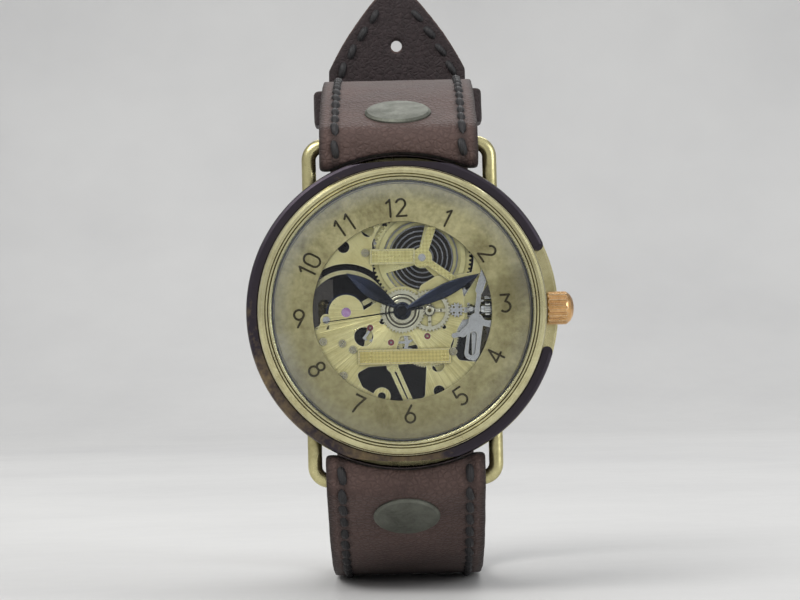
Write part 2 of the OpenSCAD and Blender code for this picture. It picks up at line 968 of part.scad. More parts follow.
module third_wheel() {
    color([0.78, 0.72, 0.44])
        watch()
            translate([third_x, third_y, 0]) {
                spoked_wheel(third_teeth, 3.91, atan2(-third_y, -third_x), 0.5, 0.7, 4, 0.4, third_layer);
                plate([2.9, 3.25])
                    gear_2d(third_pinion_teeth, 0.492,
                        atan2(-third_y, -third_x) + 180 / third_pinion_teeth);
                disc(0.2, [2.3, 4.4]);
                disc(0.12, [1.6, 5.1]);
            }
}

module fourth_wheel() {
    color([0.78, 0.72, 0.44])
        watch() {
            spoked_wheel(fourth_teeth, 3.80, atan2(escape_y, escape_x), 0.5, 0.7, 4, 0.35, fourth_layer);
            plate([2.1, 2.45])
                gear_2d(fourth_pinion_teeth, 0.521,
                    atan2(third_y, third_x) + 180 / fourth_pinion_teeth);
            disc(0.15, [1.6, 7.52]);
        }
}

module escape_wheel() {
    tip_r = 2.77;
    root_r = 2.2;
    color([0.72, 0.70, 0.60])
        watch()
            translate([escape_x, escape_y, 0]) {
                plate(escape_layer) {
                    difference() {
                        union() {
                            circle(root_r);
                            for (i = [0:escape_wheel_teeth - 1])
                                rotate(i * 360 / escape_wheel_teeth)
                                    polygon([[root_r - 0.1, -0.28], [tip_r - 0.1, 0.16], [tip_r, 0.3],
                                        [tip_r - 0.1, 0.36], [root_r - 0.1, 0.2]]);
                        }
                        circle(1.75);
                    }
                    circle(0.45);
                    for (i = [0:3])
                        rotate(i * 90)
                            translate([0.3, -0.15])
                                square([1.6, 0.3]);
                }
                plate([2.5, 2.8])
                    gear_2d(escape_pinion_teeth, 0.38,
                        atan2(-escape_y, -escape_x) + 180 / escape_pinion_teeth);
                disc(0.1, [1.6, 5.1]);
            }
}

// Pallet fork with its two stones
module pallet_fork() {
    here = [pallet_x, pallet_y];
    fork_way = [balance_x - pallet_x, -pallet_y] / norm([balance_x - pallet_x, pallet_y]);
    color([0.66, 0.66, 0.68])
        watch() {
            plate(pallet_layer) {
                bar_2d(here, here + 3.0 * fork_way, 0.28);
                bar_2d(here - 1.45 * across_way + 0.1 * escape_way, here + 1.45 * across_way + 0.1 * escape_way, 0.32);
                bar_2d(here - 1.5 * across_way, here - 1.5 * across_way + 0.42 * escape_way, 0.22);
                bar_2d(here + 1.5 * across_way, here + 1.5 * across_way + 0.42 * escape_way, 0.22);
            }
            translate([pallet_x, pallet_y, 0])
                disc(0.1, [2.9, 5.1]);
        }
}

// Balance wheel with its staff, roller and impulse pin
module balance_wheel() {
    color([0.80, 0.74, 0.48])
        watch()
            translate([balance_x, 0, 0]) {
                ring(balance_r, balance_r - 0.5, balance_layer);
                plate([2.15, 2.35])
                    difference() {
                        circle(balance_r - 0.2);
                        difference() {
                            circle(balance_r - 0.5);
                            circle(0.8);
                            rotate(28)
                                translate([-balance_r, -0.3])
                                    square([2 * balance_r, 0.6]);
                        }
                    }
                disc(0.12, [1.6, 4.85]);
                disc(0.5, [2.95, 3.15]);
                rotate(146)
                    translate([-0.36, 0, 3.05])
                        cylinder(r = 0.08, h = 0.45);
            }
}

module hairspring() {
    turns = 5;
    start = 199.7;
    color([0.35, 0.42, 0.62])
        watch()
            translate([balance_x, 0, 0])
                rotate(start)
                    plate([2.58, 2.72])
                        polygon(spiral_band(0.15, 2.55, turns, turns * 24, 0.07));
}

module hairspring_stud() {
    color([0.68, 0.69, 0.72])
        watch()
            translate([stud_place[0], stud_place[1], 0]) {
                disc(0.25, [2.5, plate_layer[1]]);
                disc(0.45, [plate_layer[1], 5.5]);
            }
}

// Hole jewel with a clear bore
module jewel(place, r, bore, layer) {
    translate([place[0], place[1], 0])
        ring(r, bore, layer);
}

module balance_jewels() {
    color([0.80, 0.25, 0.50])
        watch() {
            jewel([balance_x, 0], 0.6, 0.15, [1.45, 1.85]);
            jewel([balance_x, 0], 0.6, 0.15, [4.55, 4.88]);
            translate([balance_x, 0, 0])
                disc(0.6, [4.93, 5.2]);
        }
}

module train_jewels() {
    color([0.75, 0.12, 0.25])
        watch() {
            jewel([0, 0], 0.4, 0.18, [1.5, 1.95]);
            for (place = [[third_x, third_y], [escape_x, escape_y]]) {
                jewel(place, 0.4, 0.15, [1.5, 1.95]);
                jewel(place, 0.4, 0.15, [4.7, 5.2]);
            }
            jewel([pallet_x, pallet_y], 0.4, 0.13, [4.7, 5.2]);
        }
}

// ---- movement: motion work and keyless work ----

module cannon_pinion() {
    color([0.62, 0.63, 0.66])
        watch()
            difference() {
                union() {
                    plate(minute_layer)
                        gear_2d(cannon_teeth, 0.85, 180 / cannon_teeth);
                    disc(0.56, [5.35, 7.45]);
                }
                disc(0.38, [5.3, 7.2]);
                disc(0.3, [7.1, 7.6]);
            }
}

module minute_wheel() {
    color([0.78, 0.72, 0.44])
        watch()
            translate([motion_x, 0, 0])
                difference() {
                    union() {
                        spoked_wheel(minute_wheel_teeth, 2.55, 180, 0.55, 0.7, 4, 0.4, minute_layer);
                        plate([5.55, 5.9])
                            gear_2d(minute_pinion_teeth, 0.68, 180 + 180 / minute_pinion_teeth);
                    }
                    disc(0.25, [5.3, 6]);
                }
}

module hour_wheel() {
    color([0.80, 0.74, 0.46])
        watch()
            difference() {
                union() {
                    plate(hour_layer)
                        gear_2d(hour_teeth, 2.72, 0);
                    disc(0.82, [5.65, 7.12]);
                    ring(1.35, 0.82, [5.8, 6.05]);
                }
                disc(0.56 + run, [5.6, 7.3]);
            }
}

module setting_wheel() {
    color([0.70, 0.68, 0.55])
        watch()
            translate([setting_wheel_x, 0, 0])
                difference() {
                    union() {
                        plate(minute_layer)
                            gear_2d(setting_teeth, 0.85, 180 + 180 / setting_teeth);
                        disc(0.3, [4.3, 5.4]);
                        disc(0.5, [4.05, 4.3]);
                    }
                    for (i = [0:3])
                        rotate(i * 90 + 45)
                            translate([0.5, 0, 5.3])
                                cylinder(r = 0.13, h = 1, $fn = 24);
                }
}

// Turns a shape drawn along z so that it lies on the stem's axis
module on_stem() {
    watch()
        translate([0, 0, stem_height])
            rotate([0, 90, 0])
                children();
}

// Clutch that slides on the square of the stem
module sliding_pinion() {
    color([0.64, 0.65, 0.68])
        on_stem()
            difference() {
                union() {
                    plate([8.2, 8.5])
                        gear_2d(12, 0.82);
                    disc(0.75, [8.4, 8.83]);
                    disc(0.58, [8.7, 9.4]);
                    disc(0.9, [9.17, 9.8]);
                }
                translate([-0.35, -0.35, 8])
                    cube([0.7, 0.7, 2]);
            }
}

module winding_pinion() {
    color([0.64, 0.65, 0.68])
        on_stem()
            difference() {
                union() {
                    plate([10.4, 11.2])
                        gear_2d(winding_teeth, 1.58, 180 / winding_teeth);
                    disc(1.0, [9.9, 10.4]);
                }
                disc(0.5 + run, [9, 12]);
            }
}

module setting_lever() {
    color([0.62, 0.63, 0.66])
        watch() {
            plate([4.0, 4.3])
                difference() {
                    bar_2d(lever_pivot, [12.3, 0], 0.8);
                    translate(lever_pivot)
                        circle(0.2 + run);
                }
            translate([12.3, 0, 3.76])
                cylinder(r = 0.14, h = 0.3, $fn = 48);
        }
}

module yoke() {
    color([0.62, 0.63, 0.66])
        watch()
            plate([3.3, 3.5]) {
                difference() {
                    bar_2d(yoke_pivot, [9.0, -1.4], 0.7);
                    translate(yoke_pivot)
                        circle(0.2 + run);
                }
                translate([8.89, -1.5])
                    square([0.22, 0.84]);
            }
}

// Steel cover plate over the keyless work
module keyless_cover() {
    color([0.72, 0.73, 0.75])
        watch()
            plate([plate_layer[1], 5.5])
                difference() {
                    union() {
                        bar_2d([10.6, 5.2], [9.7, 2.4], 1.0);
                        bar_2d([9.7, 2.4], [9.2, -1.4], 0.6);
                        bar_2d([9.2, -1.4], [12.2, -2.2], 0.8);
                        bar_2d([9.2, -1.4], [7.5, -3.0], 0.9);
                        bar_2d([7.5, -3.0], [6.4, -3.2], 0.6);
                        bar_2d([9.2, -1.4], [8.6, -5.4], 1.9);
                    }
                    bar_2d([8.85, -3.2], [8.6, -5.3], 0.9);
                }
}

module movement_screws() {
    color([0.60, 0.62, 0.68])
        watch()
            for (place = screw_places)
                translate([place[0], place[1], 0])
                    difference() {
                        union() {
                            disc(0.3, plate_layer);
                            disc(0.48, [plate_layer[1], 5.5]);
                        }
                        rotate(place[0] * 40)
                            translate([-1, -0.06, 5.4])
                                cube([2, 0.12, 1]);
                    }
}

// ---- strap: drawn in the plane of depth (Y) and height (Z), then given its width ----

// Points along a path that starts at a point and heading; each bend is [length, turn, step]
function path(start, heading, bends) =
    let (
        steps = [for (b = bends) let (n = max(1, ceil(b[0] / b[2]))) for (i = [1:n]) [b[0] / n, b[1] / n]],
        turns = [for (i = 0, a = heading; i < len(steps); a = a + steps[i][1], i = i + 1) a + steps[i][1] / 2]
    )
        [for (
            i = 0, p = start;
            i <= len(steps);
            p = i < len(steps) ? p + steps[i][0] * [cos(turns[i]), sin(turns[i])] : p,
            i = i + 1
        ) p];

// Unit normal to the left of a path at one of its points
function path_normal(points, i) =
    let (
        a = points[max(0, i - 1)],
        b = points[min(len(points) - 1, i + 1)],
        d = (b - a) / norm(b - a)
    )
        [-d[1], d[0]];

// Outline of a band that follows a path
function band(points, half_width) = concat(
    [for (i = [0:len(points) - 1]) points[i] + half_width * path_normal(points, i)],
    [for (i = [len(points) - 1:-1:0]) points[i] - half_width * path_normal(points, i)]
);

// Gives a depth-and-height outline its width along X
module across(width, middle = 0) {
    rotate([90, 0, 90])
        translate([0, 0, middle - width / 2])
            linear_extrude(width)
                children();
}

// Points of an arc from one angle to another
function arc(centre, r, from, to) =
    [for (i = [0:8]) let (angle = from + i * (to - from) / 8) centre + r * [cos(angle), sin(angle)]];

half = strap_thickness / 2;
lug_bar = [-3.0, lug_reach];
lug_gap = 0.05;
bend_r = lug_wire / 2 + lug_gap + half;
fold_layer = 1.15;
fold_r = lug_wire / 2 + lug_gap + fold_layer;
// Underside of the fold, and the radius of its two corners
fold_low = 17.9;
fold_corner = 1.5;
snap_reach = 4.35;
snap_shaft_r = 1.15;
start_drop = lug_reach - fold_low - fold_corner;
path_start = lug_bar - [bend_r, start_drop];
// Slope of the leather where it leaves the front of the wrist for the back
crest_slope = 8;

// Bends from the lug bar over the snap, for a half with this slope at its snap
function front_bends(slope) = [
    [start_drop, 0, start_drop], [bend_r * (90 - slope) * PI / 180, slope - 90, 0.3], [9, 0, 9],
    [6, 0.4 * (crest_slope - slope), 1.5], [12, 0.6 * (crest_slope - slope), 2]
];
back_bends = [[8, -8, 2], [9, -16, 1.5], [7, -26, 1], [7, -32, 1], [5, -16, 1.5]];

// Place where the leather leaves the lug bar, and the place of the snap
function bend_end(slope) = lug_bar + bend_r * [cos(90 + slope), sin(90 + slope)];
function snap_place(slope) = bend_end(slope) + snap_reach * [cos(slope), sin(slope)];
function last(points) = points[len(points) - 1];

inner_to_outer = strap_thickness + 0.6;
upper_run = 14.0;
upper_path = path(path_start, 90, concat(front_bends(upper_slope), back_bends, [[upper_run, 0, 20]]));
buckle_bar = last(upper_path);
outer_y = buckle_bar[0] + inner_to_outer;
// Straight length that brings the lower half just outside the upper one at the back
lower_short = path(path_start, 90, concat(front_bends(lower_slope), back_bends));
lower_extra = (outer_y - last(lower_short)[0]) / cos(crest_slope);
lower_path = path(path_start, 90,
    concat(front_bends(lower_slope), [[lower_extra, 0, lower_extra]], back_bends, [[80, 0, 80]]));
buckle_bar_r = 0.6;
far_bar = [outer_y + half + 1.05, buckle_bar[1] - 8.1];
far_bar_r = 0.9;
side_x = strap_width / 2 + 1.35;

// Layer that follows a path, with its fold round the lug bar and the layer turned back
// under the snap; the end of the fold is hollowed to fit the rim of the case
module half_strap(points, slope) {
    flap_reach = 8.6;
    way = [cos(slope), sin(slope)];
    inward = [sin(slope), -cos(slope)];
    turn = bend_end(slope);
    face = lug_bar[0] - bend_r - half;
    rear = lug_bar[0] + fold_r;
    low = fold_low + fold_corner;
    under = half + fold_layer - bend_r;
    flap_start = (fold_r - under * sin(slope)) / cos(slope);
    difference() {
        union() {
            across(strap_width)
                polygon(band(points, half));
            across(strap_width)
                polygon(concat(
                    [[face + half, low + 1]],
                    arc([face + fold_corner, low], fold_corner, 180, 270),
                    arc([rear - fold_corner, low], fold_corner, 270, 360),
                    [
                        lug_bar + under * inward + flap_start * way,
                        turn + flap_reach * way + (half + fold_layer) * inward,
                        turn + flap_reach * way + (half - 0.05) * inward,
                        turn + (half - 0.3) * inward, lug_bar
                    ]
                ));
        }
        translate([-strap_width, lug_bar[0], lug_bar[1]])
            rotate([0, 90, 0])
                cylinder(r = lug_wire / 2 + lug_gap + 0.03, h = 2 * strap_width);
        watch()
            cylinder(r = flange_r + 0.12, h = 7);
    }
}

// Things at a snap, drawn with z square to the leather; side is 1 above and -1 below
module at_snap(side) {
    slope = side > 0 ? upper_slope : lower_slope;
    place = snap_place(slope);
    mirror([0, 0, side > 0 ? 0 : 1])
        translate([0, place[0], place[1]])
            rotate([slope, 0, 0])
                children();
}

module snap_hole() {
    translate([0, 0, -5])
        cylinder(r = snap_shaft_r + lug_gap, h = 10);
}

// Half with the buckle, from the upper lug to the back of the wrist
module strap_upper() {
    color([0.40, 0.32, 0.31])
        difference() {
            union() {
                half_strap(upper_path, upper_slope);
                translate([-strap_width / 2, buckle_bar[0], buckle_bar[1]])
                    rotate([0, 90, 0])
                        cylinder(r = buckle_bar_r + 0.65, h = strap_width);
            }
            translate([-strap_width, buckle_bar[0], buckle_bar[1]])
                rotate([0, 90, 0])
                    cylinder(r = buckle_bar_r + lug_gap, h = 2 * strap_width);
            translate([-1.0, buckle_bar[0] - 3, buckle_bar[1] - 2])
                cube([2.0, 6, 4]);
            at_snap(1)
                snap_hole();
        }
}

// Outline of the pointed end, seen square on, as a solid as deep as the loop
module tongue_outline() {
    half_w = strap_width / 2;
    side_r = 49;
    lean = 26.3;
    start = tongue_tip - 12.6;
    translate([-half_w - 1, -20, -60])
        cube([2 * half_w + 2, 90, 60 + start]);
    intersection() {
        translate([half_w - side_r * cos(lean), -20, start - side_r * sin(lean)])
            rotate([-90, 0, 0])
                cylinder(r = side_r, h = 90, $fn = 240);
        translate([side_r * cos(lean) - half_w, -20, start - side_r * sin(lean)])
            rotate([-90, 0, 0])
                cylinder(r = side_r, h = 90, $fn = 240);
        translate([-half_w, -20, start - past])
            cube([2 * half_w, 90, 11.5]);
    }
    translate([0, -20, start + 10.2])
        rotate([-90, 0, 0])
            cylinder(r = 2.4, h = 90);
}

// Half with the holes and the pointed tongue, passing outside the other at the back
module strap_lower() {
    color([0.40, 0.32, 0.31])
        intersection() {
            difference() {
                mirror([0, 0, 1])
                    half_strap(lower_path, lower_slope);
                at_snap(-1)
                    snap_hole();
                translate([-0.8, outer_y - 2, buckle_bar[1] - 3.8])
                    cube([1.6, 4, 3.8]);
                for (i = [0:4])
                    translate([0, outer_y - 3, buckle_bar[1] + 12 + i * 6.5])
                        rotate([-90, 0, 0])
                            cylinder(r = 0.9, h = 6);
            }
            tongue_outline();
        }
}

// Snap fasteners that close both folds
module strap_snaps() {
    foot = -half - fold_layer - 0.01;
    seat = half + 0.01;
    color([0.52, 0.52, 0.48])
        for (side = [-1, 1])
            at_snap(side)
                rotate_extrude()
                    polygon([
                        [0, foot - 0.6], [1.8, foot - 0.6], [2.1, foot - 0.3], [2.1, foot],
                        [snap_shaft_r, foot], [snap_shaft_r, seat], [snap_d / 2, seat],
                        [snap_d / 2, seat + 0.2], [snap_d / 2 - 0.3, seat + 0.45],
                        [2.4, seat + 0.6], [0, seat + 0.65]
                    ]);
}

// Rod between two points of the depth-and-height plane
module rod(from, to, r, x) {
    way = to - from;
    translate([x, from[0], from[1]])
        rotate([atan2(way[1], way[0]) - 90, 0, 0])
            cylinder(r = r, h = norm(way), $fn = 48);
}

// Frame of the buckle, with its pivot bar inside and its far bar outside the tongue
module buckle_frame() {
    color([0.72, 0.68, 0.46]) {
        translate([-side_x, buckle_bar[0], buckle_bar[1]])
            rotate([0, 90, 0])
                cylinder(r = buckle_bar_r, h = 2 * side_x);
        translate([-side_x, far_bar[0], far_bar[1]])
            rotate([0, 90, 0])
                cylinder(r = far_bar_r, h = 2 * side_x);
        for (side = [-1, 1]) {
            rod(buckle_bar, far_bar, far_bar_r, side * side_x);
            for (end = [buckle_bar, far_bar])
                translate([side * side_x, end[0], end[1]])
                    sphere(r = far_bar_r + 0.06);
        }
    }
}

module buckle_prong() {
    prong_width = 1.2;
    knee = buckle_bar + [5.2, -4.2];
    tip = buckle_bar + [6.2, -9.5];
    color([0.72, 0.68, 0.46])
        across(prong_width)
            difference() {
                union() {
                    translate(buckle_bar)
                        circle(buckle_bar_r + 0.55);
                    bar_2d(buckle_bar, knee, 0.9);
                    bar_2d(knee, tip, 0.9);
                }
                translate(buckle_bar)
                    circle(buckle_bar_r + run);
            }
}

// Leather loop round both layers at the back
module keeper(low, high, inner_face, outer_face, side_gap, wall) {
    inner_x = strap_width / 2 + side_gap;
    translate([0, 0, low])
        linear_extrude(high - low)
            difference() {
                offset(wall, $fn = 32)
                    translate([-inner_x, inner_face])
                        square([2 * inner_x, outer_face - inner_face]);
                translate([-inner_x, inner_face])
                    square([2 * inner_x, outer_face - inner_face]);
            }
}

module fixed_keeper() {
    color([0.36, 0.28, 0.27])
        keeper(buckle_bar[1] + 4, buckle_bar[1] + 9, buckle_bar[0] - half, outer_y + half + 0.3, 0.4, 1.3);
}

module free_keeper() {
    color([0.36, 0.28, 0.27])
        keeper(28.3, 33.3, outer_y - half - 2.7, outer_y + half + 0.3, 0.8, 1.4);
}

case_middle();
bezel();
crystal();
crystal_gasket();
guard_ring();
back_ring();
back_glass();
lug_upper();
lug_lower();
crown_tube();
crown();
crown_gasket();
stem();
dial_ring();
movement_ring();
hour_hand();
minute_hand();
seconds_hand();
main_plate();
barrel_bridge();
train_bridge();
balance_cock();
pallet_bridge();
upper_bridge();
lower_bar();
barrel_drum();
mainspring();
barrel_arbor();
ratchet_wheel();
crown_wheel();
click();
centre_wheel();
third_wheel();
fourth_wheel();
escape_wheel();
pallet_fork();
balance_wheel();
hairspring();
hairspring_stud();
balance_jewels();
train_jewels();
cannon_pinion();
minute_wheel();
hour_wheel();
setting_wheel();
sliding_pinion();
winding_pinion();
setting_lever();
yoke();
keyless_cover();
movement_screws();
strap_upper();
strap_lower();
strap_snaps();
buckle_frame();
buckle_prong();
fixed_keeper();
free_keeper();
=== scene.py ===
import math
import random

import bmesh
import bpy
from mathutils import Matrix, Vector
from mathutils.bvhtree import BVHTree


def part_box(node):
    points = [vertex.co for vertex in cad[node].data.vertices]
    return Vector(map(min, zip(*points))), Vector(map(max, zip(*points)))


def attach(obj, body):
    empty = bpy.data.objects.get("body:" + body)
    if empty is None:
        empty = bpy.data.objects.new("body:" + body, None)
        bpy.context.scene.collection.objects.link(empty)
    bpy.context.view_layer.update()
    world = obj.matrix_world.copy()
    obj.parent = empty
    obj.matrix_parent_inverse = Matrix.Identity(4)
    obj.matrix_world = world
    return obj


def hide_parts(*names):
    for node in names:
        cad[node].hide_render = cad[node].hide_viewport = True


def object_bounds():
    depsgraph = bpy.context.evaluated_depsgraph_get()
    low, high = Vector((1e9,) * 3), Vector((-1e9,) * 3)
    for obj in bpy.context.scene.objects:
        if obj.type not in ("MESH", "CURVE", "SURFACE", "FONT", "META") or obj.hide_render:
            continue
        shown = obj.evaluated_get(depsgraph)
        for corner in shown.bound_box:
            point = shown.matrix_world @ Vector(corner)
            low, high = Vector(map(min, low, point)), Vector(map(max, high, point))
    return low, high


MM = 0.001

# Depths of surface relief in the bump nodes
FINE_RELIEF = 0.00003
CUT_RELIEF = 0.00005
ROUGH_RELIEF = 0.00008

# Stitching: distance of the seams from the strap's edge, and the size of a stitch
SEAM_INSET = 2.0 * MM
STITCH_PITCH = 3.05 * MM
STITCH_LENGTH = 2.75 * MM
STITCH_WIDTH = 1.0 * MM

random.seed(7)

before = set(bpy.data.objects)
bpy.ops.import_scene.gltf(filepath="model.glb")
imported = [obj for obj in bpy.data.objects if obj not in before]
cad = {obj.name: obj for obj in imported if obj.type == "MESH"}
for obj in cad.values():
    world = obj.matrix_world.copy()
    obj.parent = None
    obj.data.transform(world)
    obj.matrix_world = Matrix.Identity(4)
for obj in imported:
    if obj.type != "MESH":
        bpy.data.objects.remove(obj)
loaded_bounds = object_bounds()


# ---------------------------------------------------------------- camera

# Measured on the photograph: a long lens, slightly below the dial and rolled a little
PHOTO_WIDTH = 800
FOCAL_LENGTH = 119.5
SENSOR_WIDTH = 36
SHIFT_PIXELS = (-2.3, 10.7)
CAMERA_OFFSET = Vector((0, -0.3299, -0.0069))
CAMERA_ROLL = math.radians(-1.3)
AIM_BEFORE_DIAL = 1.6 * MM


def centre(box):
    lo, hi = box
    return Vector(((lo[0] + hi[0]) / 2, (lo[1] + hi[1]) / 2, (lo[2] + hi[2]) / 2))


dial_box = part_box("dial_ring")
dial_centre = centre(dial_box)

camera_data = bpy.data.cameras.new("camera")
camera_data.lens = FOCAL_LENGTH
camera_data.sensor_width = SENSOR_WIDTH
camera_data.shift_x = SHIFT_PIXELS[0] / PHOTO_WIDTH
camera_data.shift_y = SHIFT_PIXELS[1] / PHOTO_WIDTH
camera_data.clip_start = 0.01
camera_data.clip_end = 20
camera = bpy.data.objects.new("camera", camera_data)
bpy.context.scene.collection.objects.link(camera)
aim = Vector((0, dial_centre.y - AIM_BEFORE_DIAL, 0))
camera.location = aim + CAMERA_OFFSET
look = (aim - camera.location).to_track_quat("-Z", "Y").to_matrix().to_4x4()
camera.matrix_world = Matrix.Translation(camera.location) @ look @ Matrix.Rotation(CAMERA_ROLL, 4, "Z")
bpy.context.scene.camera = camera


# ---------------------------------------------------------------- materials

class Graph:
    """Short way to write a node material.

    node() takes the inputs by name with underscores for spaces, i0 or i1 for an input by number,
    and set_x for a property x of the node itself.
    """

    # Sockets of the colour form of the Mix node
    MIX_FACTOR = 0
    MIX_A = 6
    MIX_B = 7
    MIX_RESULT = 2

    def __init__(self, name):
        self.mat = bpy.data.materials.new(name)
        self.mat.use_nodes = True
        self.tree = self.mat.node_tree
        self.tree.nodes.clear()
        self.out = self.tree.nodes.new("ShaderNodeOutputMaterial")
        self.coord = self.tree.nodes.new("ShaderNodeTexCoord").outputs["Object"]

    def put(self, socket, value):
        if isinstance(value, bpy.types.NodeSocket):
            self.tree.links.new(value, socket)
        elif isinstance(value, (tuple, list)) and len(value) == 3 and socket.type == "RGBA":
            socket.default_value = (*value, 1)
        else:
            socket.default_value = value

    def node(self, kind, output=0, **inputs):
        n = self.tree.nodes.new(kind)
        for key, value in inputs.items():
            if key.startswith("set_"):
                setattr(n, key[4:], value)
        for key, value in inputs.items():
            if not key.startswith("set_"):
                by_number = key[0] == "i" and key[1:].isdigit()
                name = int(key[1:]) if by_number else key.replace("_", " ")
                self.put(n.inputs[name], value)
        return n.outputs[output]

    def noise(self, scale, detail=4.0, rough=0.55, stretch=None, vector=None, distortion=0.0):
        v = vector or self.coord
        if stretch:
            v = self.node("ShaderNodeMapping", Vector=v, Scale=stretch)
        return self.node("ShaderNodeTexNoise", Vector=v, Scale=scale, Detail=detail, Roughness=rough,
                         Distortion=distortion)

    def math(self, operation, a, b=0.0, clamp=False):
        return self.node("ShaderNodeMath", set_operation=operation, set_use_clamp=clamp, i0=a, i1=b)

    def weighted(self, a, share_a, b, share_b):
        """Sum of two values, each with its share."""
        return self.math("ADD", self.math("MULTIPLY", a, share_a), self.math("MULTIPLY", b, share_b))

    def ramp(self, value, low, high, start=0.0, end=1.0):
        return self.node("ShaderNodeMapRange", Value=value, From_Min=low, From_Max=high, To_Min=start,
                         To_Max=end)

    def mix(self, factor, a, b):
        n = self.tree.nodes.new("ShaderNodeMix")
        n.data_type = "RGBA"
        self.put(n.inputs[self.MIX_FACTOR], factor)
        self.put(n.inputs[self.MIX_A], a)
        self.put(n.inputs[self.MIX_B], b)
        return n.outputs[self.MIX_RESULT]

    def axis(self, name):
        return self.node("ShaderNodeSeparateXYZ", "XYZ".index(name), Vector=self.coord)

    def bump(self, height, strength, distance, normal=None):
        inputs = dict(Height=height, Strength=strength, Distance=distance)
        if normal is not None:
            inputs["Normal"] = normal
        return self.node("ShaderNodeBump", **inputs)

    def angle(self):
        """Angle round the watch's own axis, from -pi to pi."""
        return self.math("ARCTAN2", self.axis("Z"), self.axis("X"))

    def radius(self, x0=0.0, z0=0.0):
        """Distance from an axis along Y through (x0, z0)."""
        x = self.math("SUBTRACT", self.axis("X"), x0)
        z = self.math("SUBTRACT", self.axis("Z"), z0)
        return self.math("SQRT", self.weighted(x, x, z, z))

    def plane(self, x, scale_x, y, scale_y):
        """Texture coordinates made of two values, each with its scale."""
        return self.node("ShaderNodeCombineXYZ", X=self.math("MULTIPLY", x, scale_x),
                         Y=self.math("MULTIPLY", y, scale_y), Z=0.0)

    def painted_crevice_shade(self, colour, distance, dirt_and_shade):
        """Darkens corners and narrow gaps with painted shade, where ambient occlusion finds them closed in.
        """
        open_share = self.node("ShaderNodeAmbientOcclusion", 1, set_samples=8, Distance=distance)
        return self.mix(self.ramp(open_share, 0.85, 0.25, 0.0, 0.8), colour, dirt_and_shade)

    def rounded(self, radius):
        """Normal of the surface with its edges rounded off."""
        return self.node("ShaderNodeBevel", set_samples=4, Radius=radius)

    def painted_edge_highlight(self, colour, radius=0.1 * MM):
        """Brightens the edges with a painted highlight, where a fine bevel rounds them off."""
        flat_normal = self.node("ShaderNodeNewGeometry", 1)
        turn = self.node("ShaderNodeVectorMath", 1, set_operation="DOT_PRODUCT", i0=self.rounded(radius),
                         i1=flat_normal)
        return self.mix(self.ramp(turn, 0.99, 0.88, 0.0, 0.8), colour, EDGE_HIGHLIGHT)

    def surface(self, **inputs):
        shader = self.node("ShaderNodeBsdfPrincipled", **inputs)
        self.put(self.out.inputs["Surface"], shader)
        return self.mat


def srgb(*levels):
    """Linear colour from screen levels of 0 to 255."""
    shares = [level / 255 for level in levels]
    return tuple(s / 12.92 if s <= 0.04045 else ((s + 0.055) / 1.055) ** 2.4 for s in shares)


# Near-white colour of the painted highlight on edges
EDGE_HIGHLIGHT = srgb(250, 247, 226)


def brass(name, light, dark, rough, patches, amount, grain=0.15, tint=None, dents=0.0, dirt_and_shade=None, reach=0.5):
    """Aged metal: clean and duller patches, fine scratches and grain.

    rough holds the least and greatest roughness, patches the scale of the dull patches and amount
    how dull they get; tint adds dark spots, dents a hammered look, and the shade colour, when
    given, puts a painted highlight on the edges and painted shade of that colour in the corners
    within reach, in millimetres.
    """
    g = Graph(name)
    wide = g.noise(patches, 6, 0.62, distortion=0.6)
    fine = g.noise(patches * 9, 5, 0.6)
    stain = g.weighted(wide, 0.72, fine, 0.28)
    mask = g.ramp(stain, 0.40, 0.66, 0.0, amount)
    colour = g.mix(mask, light, dark)
    if tint:
        spots = g.ramp(g.noise(patches * 2.6, 3, 0.5), 0.60, 0.74, 0.0, 0.75)
        colour = g.mix(spots, colour, tint)
    scratch_a = g.noise(900, 2, 0.5, stretch=(0.12, 1.0, 2.6))
    scratch_b = g.noise(1100, 2, 0.5, stretch=(2.4, 1.0, 0.2))
    scratches = g.math("ADD", g.ramp(scratch_a, 0.56, 0.72), g.ramp(scratch_b, 0.58, 0.74))
    colour = g.mix(g.math("MULTIPLY", scratches, 0.12, True), colour, light)
    roughness = g.ramp(stain, 0.35, 0.7, rough[0], rough[1])
    height = g.weighted(g.noise(5200, 3, 0.6), grain, scratches, -0.12)
    # Painted highlight on the edges and painted shade in corners and gaps, in the given shade colour
    if dirt_and_shade:
        colour = g.painted_edge_highlight(colour)
        colour = g.painted_crevice_shade(colour, reach * MM, dirt_and_shade)
    normal = g.bump(height, 0.35, FINE_RELIEF)
    if dents:
        normal = g.bump(g.noise(420, 2, 0.4), dents, 0.00015, normal)
    return g.surface(Base_Color=colour, Metallic=1.0, Roughness=roughness, Normal=normal)


LIGHT_BRASS = srgb(214, 206, 158)
DULL_BRASS = srgb(138, 128, 84)
DARK_BRASS = srgb(84, 74, 48)

# Colours of the painted shade in corners and gaps
CREVICE_SHADE = srgb(52, 44, 30)
COLD_CREVICE_SHADE = srgb(34, 33, 34)

case_brass = brass("case brass", LIGHT_BRASS, DULL_BRASS, (0.20, 0.42), 150, 0.75,
                   tint=DARK_BRASS, dents=0.12, dirt_and_shade=CREVICE_SHADE, reach=0.3)
bezel_brass = brass("bezel brass", srgb(220, 214, 168), srgb(150, 140, 94), (0.16, 0.34), 190, 0.7,
                    dents=0.10, dirt_and_shade=CREVICE_SHADE)
wire_brass = brass("lug brass", srgb(216, 208, 156), DULL_BRASS, (0.24, 0.44), 230, 0.7,
                   dents=0.15, dirt_and_shade=CREVICE_SHADE)
gilt = brass("gilt movement brass", srgb(234, 228, 172), srgb(196, 186, 120), (0.22, 0.36), 260, 0.5,
             grain=0.4, dirt_and_shade=CREVICE_SHADE)
gilt_wheel = brass("gilt wheels", srgb(232, 226, 178), srgb(184, 172, 112), (0.14, 0.28), 380, 0.5,
                   dirt_and_shade=CREVICE_SHADE, reach=0.4)
